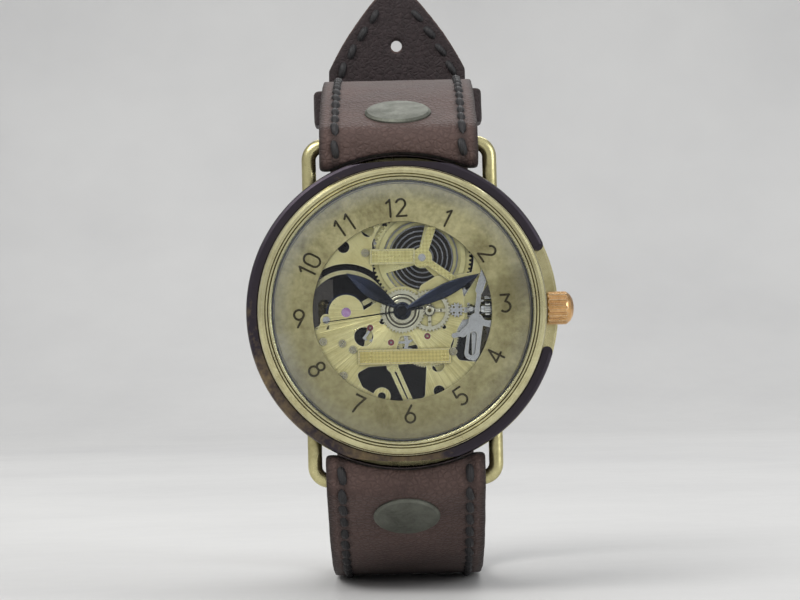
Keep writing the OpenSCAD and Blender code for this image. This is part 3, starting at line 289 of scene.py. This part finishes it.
steel = brass("polished steel", srgb(218, 220, 220), srgb(150, 152, 154), (0.10, 0.24), 300, 0.5,
              grain=0.1, dirt_and_shade=COLD_CREVICE_SHADE)
screw_steel = brass("screw steel", srgb(186, 180, 150), srgb(112, 106, 88), (0.18, 0.34), 700, 0.6,
                    dirt_and_shade=COLD_CREVICE_SHADE, reach=0.4)
spring_steel = brass("spring steel", srgb(150, 152, 156), srgb(84, 86, 92), (0.22, 0.40), 500, 0.6)
snap_metal = brass("snap metal", srgb(122, 124, 115), srgb(88, 90, 82), (0.55, 0.68), 300, 0.8,
                   grain=0.5, dents=0.15)
# Its last colour is the painted shade in its corners and gaps
crown_copper = brass("crown copper", srgb(230, 184, 126), srgb(150, 104, 62), (0.18, 0.34), 420, 0.7,
                     dirt_and_shade=srgb(86, 52, 30))


def motion_wheel_material(name, rings, x0=0.0, z0=0.0):
    """Polished wheel with turned rings darkened by painted shade; each ring is (radius, half width) in
    millimetres.
    """
    g = Graph(name)
    cloud = g.noise(700, 5, 0.6)
    colour = g.mix(g.ramp(cloud, 0.4, 0.68, 0.0, 0.5), srgb(238, 236, 212), srgb(178, 170, 124))
    height = g.math("MULTIPLY", g.noise(4200, 3, 0.6), 0.1)
    for r, half_w in rings:
        away = g.math("ABSOLUTE", g.math("SUBTRACT", g.radius(x0, z0), r * MM))
        ring = g.ramp(away, half_w * MM, half_w * 0.5 * MM)
        # Painted shade in the turned groove
        colour = g.mix(g.math("MULTIPLY", ring, 0.82), colour, srgb(62, 54, 40))
        height = g.math("SUBTRACT", height, ring)
    # Painted highlight on the edges and painted shade in corners and gaps
    colour = g.painted_edge_highlight(colour)
    colour = g.painted_crevice_shade(colour, 0.4 * MM, CREVICE_SHADE)
    return g.surface(Base_Color=colour, Metallic=1.0, Roughness=g.ramp(cloud, 0.3, 0.7, 0.10, 0.22),
                     Normal=g.bump(height, 0.6, CUT_RELIEF))


def drum_material(box):
    """Barrel drum: bright toothed rim in front, inside behind the spring darkened with painted shade."""
    g = Graph("barrel drum")
    cloud = g.noise(420, 5, 0.6)
    rim = g.mix(g.ramp(cloud, 0.4, 0.68, 0.0, 0.5), srgb(232, 226, 170), srgb(190, 178, 114))
    shaded_inside = g.mix(g.ramp(cloud, 0.35, 0.7), srgb(40, 38, 36), srgb(66, 62, 56))
    middle = centre(box)
    front = box[0].y
    # Painted shade inside the drum behind the spring; the rim gets painted shade in its corners and gaps
    inner = g.ramp(g.radius(middle.x, middle.z), 4.02 * MM, 3.92 * MM)
    deep = g.ramp(g.axis("Y"), front + 0.10 * MM, front + 0.25 * MM)
    colour = g.mix(g.math("MULTIPLY", inner, deep), g.painted_crevice_shade(rim, 0.4 * MM, CREVICE_SHADE), shaded_inside)
    return g.surface(Base_Color=colour, Metallic=1.0, Roughness=g.ramp(cloud, 0.3, 0.7, 0.24, 0.40),
                     Normal=g.bump(g.noise(4200, 3, 0.6), 0.2, FINE_RELIEF))


def dial_material():
    """Brushed and smudged dial ring, darker low down and in the stamped numerals."""
    g = Graph("dial ring brass")
    front = dial_box[0].y
    wide = g.noise(170, 7, 0.66, distortion=0.8)
    fine = g.noise(1500, 5, 0.62)
    dirt_and_shade = g.weighted(wide, 0.65, fine, 0.35)
    colour = g.mix(g.ramp(dirt_and_shade, 0.40, 0.66, 0.0, 0.85), srgb(218, 209, 158), srgb(134, 124, 82))
    smudge = g.ramp(g.noise(95, 3, 0.5), 0.52, 0.68, 0.0, 0.55)
    colour = g.mix(smudge, colour, srgb(120, 111, 74))
    groove = g.ramp(g.axis("Y"), front + 0.02 * MM, front + 0.09 * MM)
    slanted = g.math("ADD", g.axis("Z"), g.math("MULTIPLY", g.axis("X"), 0.25))
    shade = g.ramp(slanted, -16 * MM, 10 * MM, 0.55, 0.0)
    colour = g.mix(shade, colour, srgb(106, 98, 64))
    colour = g.mix(groove, colour, srgb(70, 63, 44))
    lines = g.noise(1.0, 4, 0.7, vector=g.plane(g.radius(), 9000.0, g.angle(), 3.0))
    height = g.weighted(lines, 0.3, g.noise(4200, 4, 0.65), 0.6)
    normal = g.bump(height, 0.4, 0.00004, g.rounded(0.16 * MM))
    rough = g.ramp(dirt_and_shade, 0.35, 0.7, 0.34, 0.52)
    return g.surface(Base_Color=colour, Metallic=1.0, Roughness=rough, Normal=normal)


def guard_material():
    """Blackened rod, worn down to the brass mostly at its lower left."""
    g = Graph("blackened guard rod")
    wide = g.noise(110, 6, 0.65, distortion=0.5)
    fine = g.noise(1300, 5, 0.6)
    worn = g.weighted(wide, 0.7, fine, 0.3)
    slanted = g.math("ADD", g.math("MULTIPLY", g.axis("X"), 0.6), g.axis("Z"))
    low_left = g.ramp(slanted, -21.5 * MM, -8 * MM, 0.19, -0.06)
    wear = g.ramp(g.math("ADD", worn, low_left), 0.55, 0.76)
    colour = g.mix(wear, srgb(64, 59, 66), srgb(140, 122, 92))
    return g.surface(Base_Color=colour, Metallic=1.0, Roughness=g.ramp(worn, 0.3, 0.7, 0.30, 0.50),
                     Normal=g.bump(g.noise(900, 5, 0.65), 0.35, ROUGH_RELIEF))


def plate_material():
    """Gilt plate with a sunburst cut in its lower half."""
    g = Graph("sunburst gilt plate")
    wide = g.noise(300, 5, 0.6)
    rays = g.noise(1.0, 2, 0.5, vector=g.plane(g.angle(), 46.0, g.radius(), 25.0))
    lower_half = g.ramp(g.axis("Z"), 1.5 * MM, -1.5 * MM, 0.15, 1.0)
    ray = g.math("MULTIPLY", g.ramp(rays, 0.40, 0.62), lower_half)
    colour = g.mix(g.ramp(wide, 0.4, 0.68, 0.0, 0.6), srgb(236, 228, 170), srgb(196, 184, 122))
    colour = g.mix(g.math("MULTIPLY", ray, 0.34), colour, srgb(146, 134, 80))
    # Painted highlight on the edges and painted shade in corners and gaps
    colour = g.painted_edge_highlight(colour, 0.12 * MM)
    colour = g.painted_crevice_shade(colour, 0.6 * MM, CREVICE_SHADE)
    height = g.math("ADD", ray, g.math("MULTIPLY", g.noise(4000, 2, 0.5), 0.25))
    return g.surface(Base_Color=colour, Metallic=1.0, Roughness=g.ramp(wide, 0.3, 0.7, 0.26, 0.40),
                     Normal=g.bump(height, 0.5, CUT_RELIEF))


def plaque_material(name, box, light, dark):
    """Blank plaque: sunk field with a fine engraved lattice, rim brightened with a painted highlight."""
    g = Graph(name)
    front = box[0].y
    sunk = g.ramp(g.axis("Y"), front + 0.02 * MM, front + 0.07 * MM)
    waves_x = g.math("SINE", g.math("MULTIPLY", g.axis("X"), 14000.0))
    waves_z = g.math("SINE", g.math("MULTIPLY", g.axis("Z"), 14000.0))
    weave = g.math("ADD", waves_x, waves_z)
    pattern = g.math("MULTIPLY", g.ramp(weave, -1.0, 1.2), sunk)
    colour = g.mix(g.math("MULTIPLY", pattern, 0.42), light, dark)
    colour = g.mix(g.ramp(g.noise(420, 4, 0.6), 0.45, 0.7, 0.0, 0.4), colour, dark)
    # Painted highlight on the edges and painted shade in corners and gaps
    colour = g.painted_edge_highlight(colour)
    colour = g.painted_crevice_shade(colour, 0.4 * MM, CREVICE_SHADE)
    return g.surface(Base_Color=colour, Metallic=1.0, Roughness=g.ramp(g.noise(900), 0.3, 0.7, 0.22, 0.40),
                     Normal=g.bump(g.math("MULTIPLY", pattern, 0.8), 0.5, CUT_RELIEF))


def hand_material(name, light, dark):
    g = Graph(name)
    cloud = g.noise(260, 4, 0.55)
    colour = g.mix(g.ramp(cloud, 0.35, 0.7), dark, light)
    return g.surface(Base_Color=colour, Metallic=0.9, Roughness=g.ramp(cloud, 0.3, 0.7, 0.16, 0.26),
                     Normal=g.bump(g.noise(3500, 3, 0.6), 0.08, FINE_RELIEF), Coat_Weight=0.4,
                     Coat_Roughness=0.08)


def ruby_material(name, deep, pale):
    g = Graph(name)
    cloud = g.noise(1500, 3, 0.6)
    colour = g.mix(g.ramp(cloud, 0.3, 0.7), deep, pale)
    return g.surface(Base_Color=colour, Roughness=g.ramp(cloud, 0.3, 0.7, 0.04, 0.10), Coat_Weight=1.0,
                     Coat_Roughness=0.02, Subsurface_Weight=0.3, Subsurface_Scale=0.0006,
                     Normal=g.bump(cloud, 0.05, FINE_RELIEF))


def glass_material(name, edge, tint, rim_reflection):
    """Thin glass: lets light through in its tint, with a painted blue-white reflection near the rim at edge,
    strongest toward the lit upper left.
    """
    g = Graph(name)
    film_and_gleam = g.noise(60, 4, 0.55)
    clear = g.node("ShaderNodeBsdfTransparent", Color=(*tint, 1.0))
    gloss = g.node("ShaderNodeBsdfGlossy", Color=(0.92, 0.96, 1.0, 1.0),
                   Roughness=g.ramp(film_and_gleam, 0.3, 0.7, 0.02, 0.06), Normal=g.bump(film_and_gleam, 0.05, 0.0002))
    # Painted reflection: the gloss share grows near the rim and toward the lit upper left
    slanted = g.math("SUBTRACT", g.axis("Z"), g.math("MULTIPLY", g.axis("X"), 0.5))
    lit_side = g.ramp(slanted, -edge * 0.6, edge * 0.9, 0.25, 1.0)
    rim = g.math("MULTIPLY", g.ramp(g.radius(), edge * 0.84, edge * 0.97, 0.0, rim_reflection), lit_side)
    patchy_rim = g.math("MULTIPLY", rim, g.ramp(film_and_gleam, 0.2, 0.8, 0.6, 1.0))
    lens = g.node("ShaderNodeFresnel", IOR=1.42)
    share = g.math("ADD", g.math("MULTIPLY", lens, 0.45), patchy_rim, True)
    shader = g.node("ShaderNodeMixShader", i0=share, i1=clear, i2=gloss)
    g.put(g.out.inputs["Surface"], shader)
    return g.mat


def rubber_material():
    g = Graph("black rubber")
    cloud = g.noise(900, 4, 0.6)
    return g.surface(Base_Color=g.mix(cloud, srgb(20, 20, 21), srgb(36, 36, 38)), Roughness=0.7,
                     Normal=g.bump(cloud, 0.2, CUT_RELIEF))


def lighter(colour, times):
    return tuple(c * times for c in colour)


def leather_material(name, light, dark, edge, lining, half_width, middle, tongue_z):
    """Dull grained leather: burnished edges, scuffs, a pressed seam line and a dark lining.

    middle is the middle of the strap's loop, and tongue_z the height where the seam line ends.
    """
    g = Graph(name)
    wide = g.noise(75, 5, 0.6, distortion=0.4)
    wander = g.node("ShaderNodeTexNoise", 1, Vector=g.coord, Scale=900.0)
    wander = g.node("ShaderNodeVectorMath", set_operation="SCALE", i0=wander, Scale=0.0006)
    warped = g.node("ShaderNodeVectorMath", set_operation="ADD", i0=g.coord, i1=wander)
    cells = g.node("ShaderNodeTexVoronoi", set_feature="DISTANCE_TO_EDGE", Vector=warped, Scale=1350.0)
    grain = g.ramp(cells, 0.0, 0.24)
    pores = g.noise(3600, 4, 0.7)
    creases = g.noise(420, 4, 0.6, stretch=(0.6, 1.4, 2.0))
    colour = g.mix(g.ramp(wide, 0.36, 0.66), dark, light)
    colour = g.mix(g.ramp(pores, 0.45, 0.75, 0.0, 0.30), colour, lighter(light, 1.5))
    colour = g.mix(g.ramp(grain, 0.0, 1.0, 0.55, 0.0), colour, dark)
    scuff = g.ramp(g.noise(230, 5, 0.7, stretch=(0.5, 1.0, 1.0)), 0.60, 0.72, 0.0, 0.22)
    colour = g.mix(scuff, colour, lighter(light, 1.9))
    across = g.math("ABSOLUTE", g.axis("X"))
    side = g.ramp(across, half_width - 0.9 * MM, half_width - 0.12 * MM)
    colour = g.mix(g.math("MULTIPLY", side, 0.8), colour, edge)
    from_seam = g.math("ABSOLUTE", g.math("SUBTRACT", across, half_width - SEAM_INSET))
    seam_line = g.ramp(from_seam, 0.85 * MM, 0.25 * MM)
    below_tongue = g.ramp(g.axis("Z"), tongue_z + 1 * MM, tongue_z - 1 * MM)
    seam_line = g.math("MULTIPLY", seam_line, below_tongue)
    colour = g.mix(g.math("MULTIPLY", seam_line, 0.55), colour, edge)
    outward = g.node("ShaderNodeVectorMath", set_operation="SUBTRACT", i0=g.coord, i1=middle)
    outward = g.node("ShaderNodeVectorMath", set_operation="MULTIPLY", i0=outward, i1=(0.0, 1.0, 1.0))
    outward = g.node("ShaderNodeVectorMath", set_operation="NORMALIZE", i0=outward)
    facing = g.node("ShaderNodeVectorMath", 1, set_operation="DOT_PRODUCT",
                    i0=g.node("ShaderNodeNewGeometry", 1), i1=outward)
    inside = g.ramp(facing, -0.05, -0.35)
    fibre = g.noise(2400, 4, 0.7, stretch=(1.0, 0.4, 0.4))
    lining_colour = g.mix(g.ramp(fibre, 0.35, 0.7), lining, lighter(lining, 1.8))
    colour = g.mix(inside, colour, lining_colour)
    height = g.math("ADD", g.math("MULTIPLY", grain, 0.65), g.weighted(pores, 0.40, creases, 0.9))
    height = g.math("SUBTRACT", height, g.math("MULTIPLY", seam_line, 1.4))
    return g.surface(Base_Color=colour, Roughness=g.ramp(wide, 0.3, 0.7, 0.58, 0.72),
                     Normal=g.bump(height, 0.75, 0.00014), Specular_IOR_Level=0.28,
                     Sheen_Weight=0.06, Sheen_Roughness=0.5)


def thread_material():
    g = Graph("waxed thread")
    twist = g.node("ShaderNodeTexWave", set_wave_type="BANDS", Vector=g.coord, Scale=900.0, Distortion=2.0)
    cloud = g.noise(1800, 3, 0.6)
    return g.surface(Base_Color=g.mix(cloud, srgb(20, 19, 21), srgb(44, 42, 44)), Roughness=0.6,
                     Normal=g.bump(g.math("ADD", twist, cloud), 0.5, ROUGH_RELIEF))


# ---------------------------------------------------------------- CAD nodes and their materials

def paint(material, *names):
    for name in names:
        mesh = cad[name].data
        mesh.materials.clear()
        mesh.materials.append(material)


black_steel = hand_material("black steel", srgb(30, 30, 34), srgb(16, 16, 18))
blue_steel = hand_material("blued steel", srgb(44, 52, 74), srgb(20, 24, 34))
hair_steel = hand_material("blued spring", srgb(70, 92, 140), srgb(34, 44, 78))
upper_plaque = plaque_material("upper plaque gilt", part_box("upper_bridge"), srgb(230, 222, 158),
                               srgb(178, 166, 104))
lower_plaque = plaque_material("lower bar gilt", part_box("lower_bar"), srgb(224, 210, 138),
                               srgb(168, 152, 88))
minute_wheel_centre = centre(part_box("minute_wheel"))
hour_rings = ((1.62, 0.16), (2.05, 0.12))
minute_rings = ((0.62, 0.12), (1.42, 0.14))
hour_wheel_gilt = motion_wheel_material("polished hour wheel", hour_rings)
minute_wheel_gilt = motion_wheel_material("polished minute wheel", minute_rings, minute_wheel_centre.x,
                                          minute_wheel_centre.z)

paint(case_brass, "case_middle", "back_ring", "buckle_frame", "buckle_prong")
paint(bezel_brass, "bezel")
paint(wire_brass, "lug_upper", "lug_lower")
paint(guard_material(), "guard_ring")
paint(glass_material("crystal", 16.15 * MM, (0.985, 0.992, 0.995), 0.17), "crystal")
paint(glass_material("smoky back glass", 14.0 * MM, (0.26, 0.25, 0.24), 0.10), "back_glass")
paint(rubber_material(), "crystal_gasket", "crown_gasket")
paint(crown_copper, "crown")
paint(dial_material(), "dial_ring")
paint(plate_material(), "main_plate")
paint(gilt, "barrel_bridge", "train_bridge", "balance_cock", "pallet_bridge", "movement_ring")
paint(drum_material(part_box("barrel_drum")), "barrel_drum")
paint(upper_plaque, "upper_bridge")
paint(lower_plaque, "lower_bar")
paint(gilt_wheel, "centre_wheel", "third_wheel", "fourth_wheel", "balance_wheel")
paint(hour_wheel_gilt, "hour_wheel")
paint(minute_wheel_gilt, "minute_wheel")
paint(steel, "crown_tube", "stem", "ratchet_wheel", "crown_wheel", "click", "pallet_fork", "cannon_pinion",
      "sliding_pinion", "winding_pinion", "setting_lever", "yoke", "keyless_cover", "hairspring_stud",
      "escape_wheel", "barrel_arbor", "setting_wheel")
paint(screw_steel, "movement_screws")
paint(spring_steel, "mainspring")
paint(hair_steel, "hairspring")
paint(ruby_material("pale ruby", srgb(150, 96, 168), srgb(214, 184, 226)), "balance_jewels")
paint(ruby_material("dark ruby", srgb(92, 26, 40), srgb(150, 62, 78)), "train_jewels")
paint(black_steel, "seconds_hand")
paint(snap_metal, "strap_snaps")


# ---------------------------------------------------------------- building helpers

def add(name, mesh, material):
    obj = bpy.data.objects.new(name, mesh)
    bpy.context.scene.collection.objects.link(obj)
    mesh.materials.clear()
    mesh.materials.append(material)
    return obj


def mesh_from(name, bm):
    mesh = bpy.data.meshes.new(name)
    bm.to_mesh(mesh)
    bm.free()
    for face in mesh.polygons:
        face.use_smooth = True
    return mesh


def tree_of_mesh(mesh):
    bm = bmesh.new()
    bm.from_mesh(mesh)
    tree = BVHTree.FromBMesh(bm)
    bm.free()
    return tree


def soft_copy(node, name, material, smoothing, wave_height, wave_size):
    """Leather piece shaped from its CAD node: rounded edges and a slightly uneven surface."""
    mesh = cad[node].data.copy()
    bm = bmesh.new()
    bm.from_mesh(mesh)
    bmesh.ops.remove_doubles(bm, verts=bm.verts, dist=1e-7)
    bm.to_mesh(mesh)
    bm.free()
    obj = add(name, mesh, material)
    remesh = obj.modifiers.new("remesh", "REMESH")
    remesh.mode = "VOXEL"
    remesh.voxel_size = leather_voxel
    remesh.use_smooth_shade = True
    relax = obj.modifiers.new("relax", "SMOOTH")
    relax.factor = 0.5
    relax.iterations = smoothing
    cloud = bpy.data.textures.new(name, "CLOUDS")
    cloud.noise_scale = wave_size
    push = obj.modifiers.new("waves", "DISPLACE")
    push.texture = cloud
    push.texture_coords = "LOCAL"
    push.strength = wave_height
    push.mid_level = 0.5
    baked = bpy.data.meshes.new_from_object(obj.evaluated_get(bpy.context.evaluated_depsgraph_get()))
    obj.modifiers.clear()
    obj.data = baked
    baked.materials.clear()
    baked.materials.append(material)
    for face in baked.polygons:
        face.use_smooth = True
    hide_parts(node)
    return obj


# ---------------------------------------------------------------- strap

strap_lo, strap_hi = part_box("strap_lower")
half_width = strap_hi.x
loop_centre = Vector((0, (strap_lo.y + strap_hi.y) / 2 - 1 * MM, 0))
tongue_z = strap_hi.z - 12.6 * MM
leather = leather_material("reddish brown leather", srgb(97, 78, 73), srgb(70, 54, 50), srgb(38, 31, 30),
                           srgb(40, 32, 33), half_width, tuple(loop_centre), tongue_z)
leather_voxel = 0.33 * MM
upper = soft_copy("strap_upper", "upper_strap_leather", leather, 4, 0.16 * MM, 5 * MM)
lower = soft_copy("strap_lower", "lower_strap_leather", leather, 4, 0.16 * MM, 5 * MM)
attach(upper, "case")
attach(lower, "case")
for keeper_node, body in (("fixed_keeper", "case"), ("free_keeper", "free_keeper")):
    keeper = soft_copy(keeper_node, keeper_node + "_leather", leather, 3, 0.10 * MM, 3 * MM)
    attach(keeper, body)

# ---------------------------------------------------------------- stitching of waxed thread

LARGEST_STEP = 4 * MM


def seam(tree, rays):
    """Place, normal and direction at even steps along the line where the rays meet the leather."""
    casts = [tree.ray_cast(origin, direction) for origin, direction in rays]
    hits = [(hit, normal) for hit, normal, _, _ in casts if hit is not None]
    out = []
    left = STITCH_PITCH * 0.5
    for (a, na), (b, nb) in zip(hits, hits[1:]):
        gap = (b - a).length
        if gap > LARGEST_STEP or gap == 0:
            continue
        while left <= gap:
            t = left / gap
            out.append((a.lerp(b, t), na.lerp(nb, t).normalized(), (b - a).normalized()))
            left += STITCH_PITCH
        left -= gap
    return out


def stitch(bm, place, normal, along, length, thick, slant):
    """One plump stitch lying on the leather, with its ends sunk into the holes."""
    side = normal.cross(along).normalized()
    along = side.cross(normal).normalized()
    turn = Matrix.Rotation(slant, 3, normal)
    along, side = turn @ along, turn @ side
    basis = Matrix((along, side, normal)).transposed().to_4x4()
    rings, segments = 8, 8
    smallest = 0.02
    grid = []
    for i in range(rings + 1):
        t = -1 + 2 * i / rings
        r = max((1 - abs(t) ** 3.0) ** 0.5 if abs(t) < 1 else 0.0, smallest)
        lift = thick * 0.16 - 0.45 * thick * t * t
        row = []
        for j in range(segments):
            a = 2 * math.pi * j / segments
            p = Vector((t * length / 2, math.cos(a) * r * thick * 0.5,
                        math.sin(a) * r * thick * 0.42 + lift))
            row.append(bm.verts.new(place + (basis @ p)))
        grid.append(row)
    for a, b in zip(grid, grid[1:]):
        for j in range(segments):
            bm.faces.new((a[j], a[(j + 1) % segments], b[(j + 1) % segments], b[j]))
    bm.faces.new(grid[0])
    bm.faces.new(list(reversed(grid[-1])))


def around(x, start, end, outer):
    """Rays round the loop between two angles, onto its outer face or from its middle outward."""
    reach = 0.09
    steps = 399
    middle = Vector((x, loop_centre.y, 0))
    rays = []
    for i in range(steps + 1):
        a = math.radians(start + (end - start) * i / steps)
        way = Vector((0, math.cos(a), math.sin(a)))
        rays.append((middle + way * reach, -way) if outer else (middle, way))
    return rays


thread = thread_material()


def sew(name, leather_obj, seams):
    tree = tree_of_mesh(leather_obj.data)
    bm = bmesh.new()
    for rays in seams:
        for place, normal, along in seam(tree, rays):
            length = STITCH_LENGTH * random.uniform(0.93, 1.05)
            thick = STITCH_WIDTH * random.uniform(0.92, 1.08)
            slant = math.radians(random.uniform(3, 12))
            stitch(bm, place, normal, along, length, thick, slant)
    obj = add(name, mesh_from(name, bm), thread)
    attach(obj, "case")


seam_x = half_width - SEAM_INSET
back_face = strap_hi.y
behind_strap = back_face + 0.02
gap_y = back_face - 2.1 * MM
tongue_depth = back_face - 0.9 * MM
tongue_top = strap_hi.z - 2.6 * MM
lower_node_tree = tree_of_mesh(cad["strap_lower"].data)


def tongue_half_width(z):
    """Half width of the pointed tongue at a height, found on the CAD node."""
    from_the_side = Vector((0.05, tongue_depth, z))
    hit = lower_node_tree.ray_cast(from_the_side, Vector((-1, 0, 0)))[0]
    return hit.x if hit is not None else 0.0


def tongue_rays(side, start, direction_y):
    """Rays up one edge of the tongue: forward from behind it, or backward from the gap before it."""
    steps = 90
    y = behind_strap if direction_y < 0 else gap_y
    rays = []
    for i in range(steps + 1):
        z = start + (tongue_top - start) * i / steps
        x = max(min(seam_x, tongue_half_width(z) - SEAM_INSET), 0.0)
        rays.append((Vector((side * x, y, z)), Vector((0, direction_y, 0))))
    return rays


# Angles in degrees round the loop: 0 points backward, 90 up and -90 down
upper_seams, lower_seams = [], []
for side in (-1, 1):
    x = side * seam_x
    upper_seams.append(around(x, 146, 12, True))
    upper_seams.append(around(x, 128, 12, False))
    lower_seams.append(around(x, -146, -30, True))
    lower_seams.append(around(x, -128, -30, False))
    lower_seams.append(tongue_rays(side, -14 * MM, -1))
    lower_seams.append(tongue_rays(side, 26 * MM, 1))
sew("upper_strap_stitching", upper, upper_seams)
sew("lower_strap_stitching", lower, lower_seams)


# ---------------------------------------------------------------- hands

def domed_hand(node, length, widest, half_w, neck, eye_outer, eye_inner, dome):
    """Leaf hand with a raised spine and a turned eye, in place of a flat CAD hand.

    length and widest are distances from the axis to the tip and to the widest place, half_w and
    neck half widths there and at the eye, and dome the height of the spine.
    """
    lo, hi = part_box(node)
    verts = [v.co for v in cad[node].data.vertices]
    tip = max(verts, key=lambda p: math.hypot(p.x, p.z))
    angle = math.atan2(tip.z, tip.x)
    base_y, top_y = hi.y, lo.y
    blade_y = (base_y + top_y) / 2 + 0.03 * MM
    blade_thickness = 0.08 * MM
    tip_half_w = 0.03 * MM
    bm = bmesh.new()
    rows, cols = 56, 10
    grid = []
    start = eye_outer * 0.75
    for i in range(rows + 1):
        d = start + (length - start) * (i / rows)
        if d < widest:
            swell = math.sin(math.pi / 2 * ((d - start) / (widest - start)) ** 1.15)
            w = neck + (half_w - neck) * swell
        else:
            w = half_w * math.cos(math.pi / 2 * (d - widest) / (length - widest)) + tip_half_w
        w = max(w, tip_half_w)
        row = []
        for j in range(cols + 1):
            u = -1 + 2 * j / cols
            rise = dome * (1 - abs(u) ** 1.6) * min(1, w / (half_w * 0.6))
            row.append(bm.verts.new((d * math.cos(angle) - u * w * math.sin(angle), blade_y - rise,
                                     d * math.sin(angle) + u * w * math.cos(angle))))
        grid.append(row)
    for a, b in zip(grid, grid[1:]):
        for j in range(cols):
            bm.faces.new((a[j], a[j + 1], b[j + 1], b[j]))
    lower_verts = {}
    for row in grid:
        for v in (row[0], row[-1]):
            lower_verts[v] = bm.verts.new((v.co.x, blade_y + blade_thickness, v.co.z))
    for a, b in zip(grid, grid[1:]):
        bm.faces.new((a[0], b[0], lower_verts[b[0]], lower_verts[a[0]]))
        bm.faces.new((b[-1], a[-1], lower_verts[a[-1]], lower_verts[b[-1]]))
        bm.faces.new((lower_verts[a[0]], lower_verts[b[0]], lower_verts[b[-1]], lower_verts[a[-1]]))
    profile = [(eye_inner, base_y), (eye_outer, base_y), (eye_outer, blade_y),
               (eye_outer - 0.06 * MM, top_y + 0.02 * MM), (eye_outer - 0.14 * MM, top_y),
               (eye_inner + 0.05 * MM, top_y), (eye_inner, top_y + 0.05 * MM)]
    segments = 64
    loops = []
    for s in range(segments):
        a = 2 * math.pi * s / segments
        loops.append([bm.verts.new((r * math.cos(a), y, r * math.sin(a))) for r, y in profile])
    for s in range(segments):
        a, b = loops[s], loops[(s + 1) % segments]
        for k in range(len(profile)):
            m = (k + 1) % len(profile)
            bm.faces.new((a[k], a[m], b[m], b[k]))
    bmesh.ops.recalc_face_normals(bm, faces=bm.faces)
    obj = add(node + "_domed", mesh_from(node, bm), blue_steel)
    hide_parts(node)
    return obj


hour = domed_hand("hour_hand", length=8.4 * MM, widest=4.7 * MM, half_w=0.98 * MM, neck=0.26 * MM,
                  eye_outer=1.12 * MM, eye_inner=0.82 * MM, dome=0.14 * MM)
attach(hour, "hour_work")
minute = domed_hand("minute_hand", length=10.7 * MM, widest=5.6 * MM, half_w=0.84 * MM, neck=0.22 * MM,
                    eye_outer=0.80 * MM, eye_inner=0.56 * MM, dome=0.12 * MM)
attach(minute, "minute_work")


# ---------------------------------------------------------------- stage and light

def backdrop():
    """Pale floor that bends up into a wall behind the watch."""
    floor_z = loaded_bounds[0].z - 0.25 * MM
    front_y = -3.0
    bend_y = 0.75
    bend = 0.35
    bend_steps = 24
    wall_top = floor_z + 4.0
    half_across = 4.0
    profile = [(front_y, floor_z), (bend_y, floor_z)]
    for i in range(1, bend_steps + 1):
        a = math.pi / 2 * i / bend_steps
        profile.append((bend_y + bend * math.sin(a), floor_z + bend * (1 - math.cos(a))))
    profile.append((bend_y + bend, wall_top))
    bm = bmesh.new()
    left = [bm.verts.new((-half_across, y, z)) for y, z in profile]
    right = [bm.verts.new((half_across, y, z)) for y, z in profile]
    for k in range(len(profile) - 1):
        bm.faces.new((left[k], left[k + 1], right[k + 1], right[k]))
    g = Graph("pale floor")
    cloud = g.noise(3.0, 5, 0.6)
    fine = g.noise(160.0, 4, 0.6)
    colour = g.mix(g.ramp(cloud, 0.35, 0.65), srgb(216, 216, 215), srgb(200, 200, 200))
    mat = g.surface(Base_Color=colour, Roughness=g.ramp(fine, 0.3, 0.7, 0.55, 0.7),
                    Normal=g.bump(fine, 0.06, 0.0004))
    obj = add("pale_backdrop", mesh_from("pale_backdrop", bm), mat)


backdrop()


def area_light(name, place, target, size, watts, colour):
    data = bpy.data.lights.new(name, "AREA")
    data.shape = "RECTANGLE"
    data.size, data.size_y = size
    data.energy = watts
    data.color = colour
    obj = bpy.data.objects.new(name, data)
    obj.location = place
    obj.rotation_euler = (Vector(target) - Vector(place)).to_track_quat("-Z", "Y").to_euler()
    bpy.context.scene.collection.objects.link(obj)


area_light("key", (-0.45, -0.55, 0.75), (0, 0, 0), (0.7, 0.5), 6.0, (1.0, 0.985, 0.96))
area_light("fill", (0.75, -0.45, 0.25), (0, 0, 0), (0.5, 0.7), 2.6, (0.95, 0.98, 1.0))
area_light("rim", (0.1, 0.65, 0.7), (0, 0.02, 0), (0.6, 0.4), 2.4, (1, 1, 1))

# Grey light from all round, brighter toward the top
WORLD_STRENGTH = 0.72
LOW_GREY = (0.42, 0.42, 0.43, 1)
MIDDLE_GREY = (0.60, 0.60, 0.61, 1)
HIGH_GREY = (1.0, 1.0, 1.0, 1)

world = bpy.data.worlds.new("studio")
bpy.context.scene.world = world
world.use_nodes = True
wt = world.node_tree
wt.nodes.clear()
w_out = wt.nodes.new("ShaderNodeOutputWorld")
w_back = wt.nodes.new("ShaderNodeBackground")
w_coord = wt.nodes.new("ShaderNodeTexCoord")
w_split = wt.nodes.new("ShaderNodeSeparateXYZ")
w_ramp = wt.nodes.new("ShaderNodeValToRGB")
w_range = wt.nodes.new("ShaderNodeMapRange")
wt.links.new(w_coord.outputs["Generated"], w_split.inputs["Vector"])
wt.links.new(w_split.outputs["Z"], w_range.inputs["Value"])
w_range.inputs["From Min"].default_value = -1.0
w_range.inputs["From Max"].default_value = 1.0
wt.links.new(w_range.outputs["Result"], w_ramp.inputs[0])
stops = w_ramp.color_ramp.elements
stops[0].position, stops[0].color = 0.30, LOW_GREY
stops[1].position, stops[1].color = 0.92, HIGH_GREY
stops.new(0.52).color = MIDDLE_GREY
wt.links.new(w_ramp.outputs["Color"], w_back.inputs["Color"])
w_back.inputs["Strength"].default_value = WORLD_STRENGTH
wt.links.new(w_back.outputs["Background"], w_out.inputs["Surface"])

bpy.context.scene.view_settings.view_transform = "Standard"
bpy.context.scene.view_settings.look = "None"
bpy.context.scene.view_settings.exposure = 0.0

bpy.context.view_layer.update()
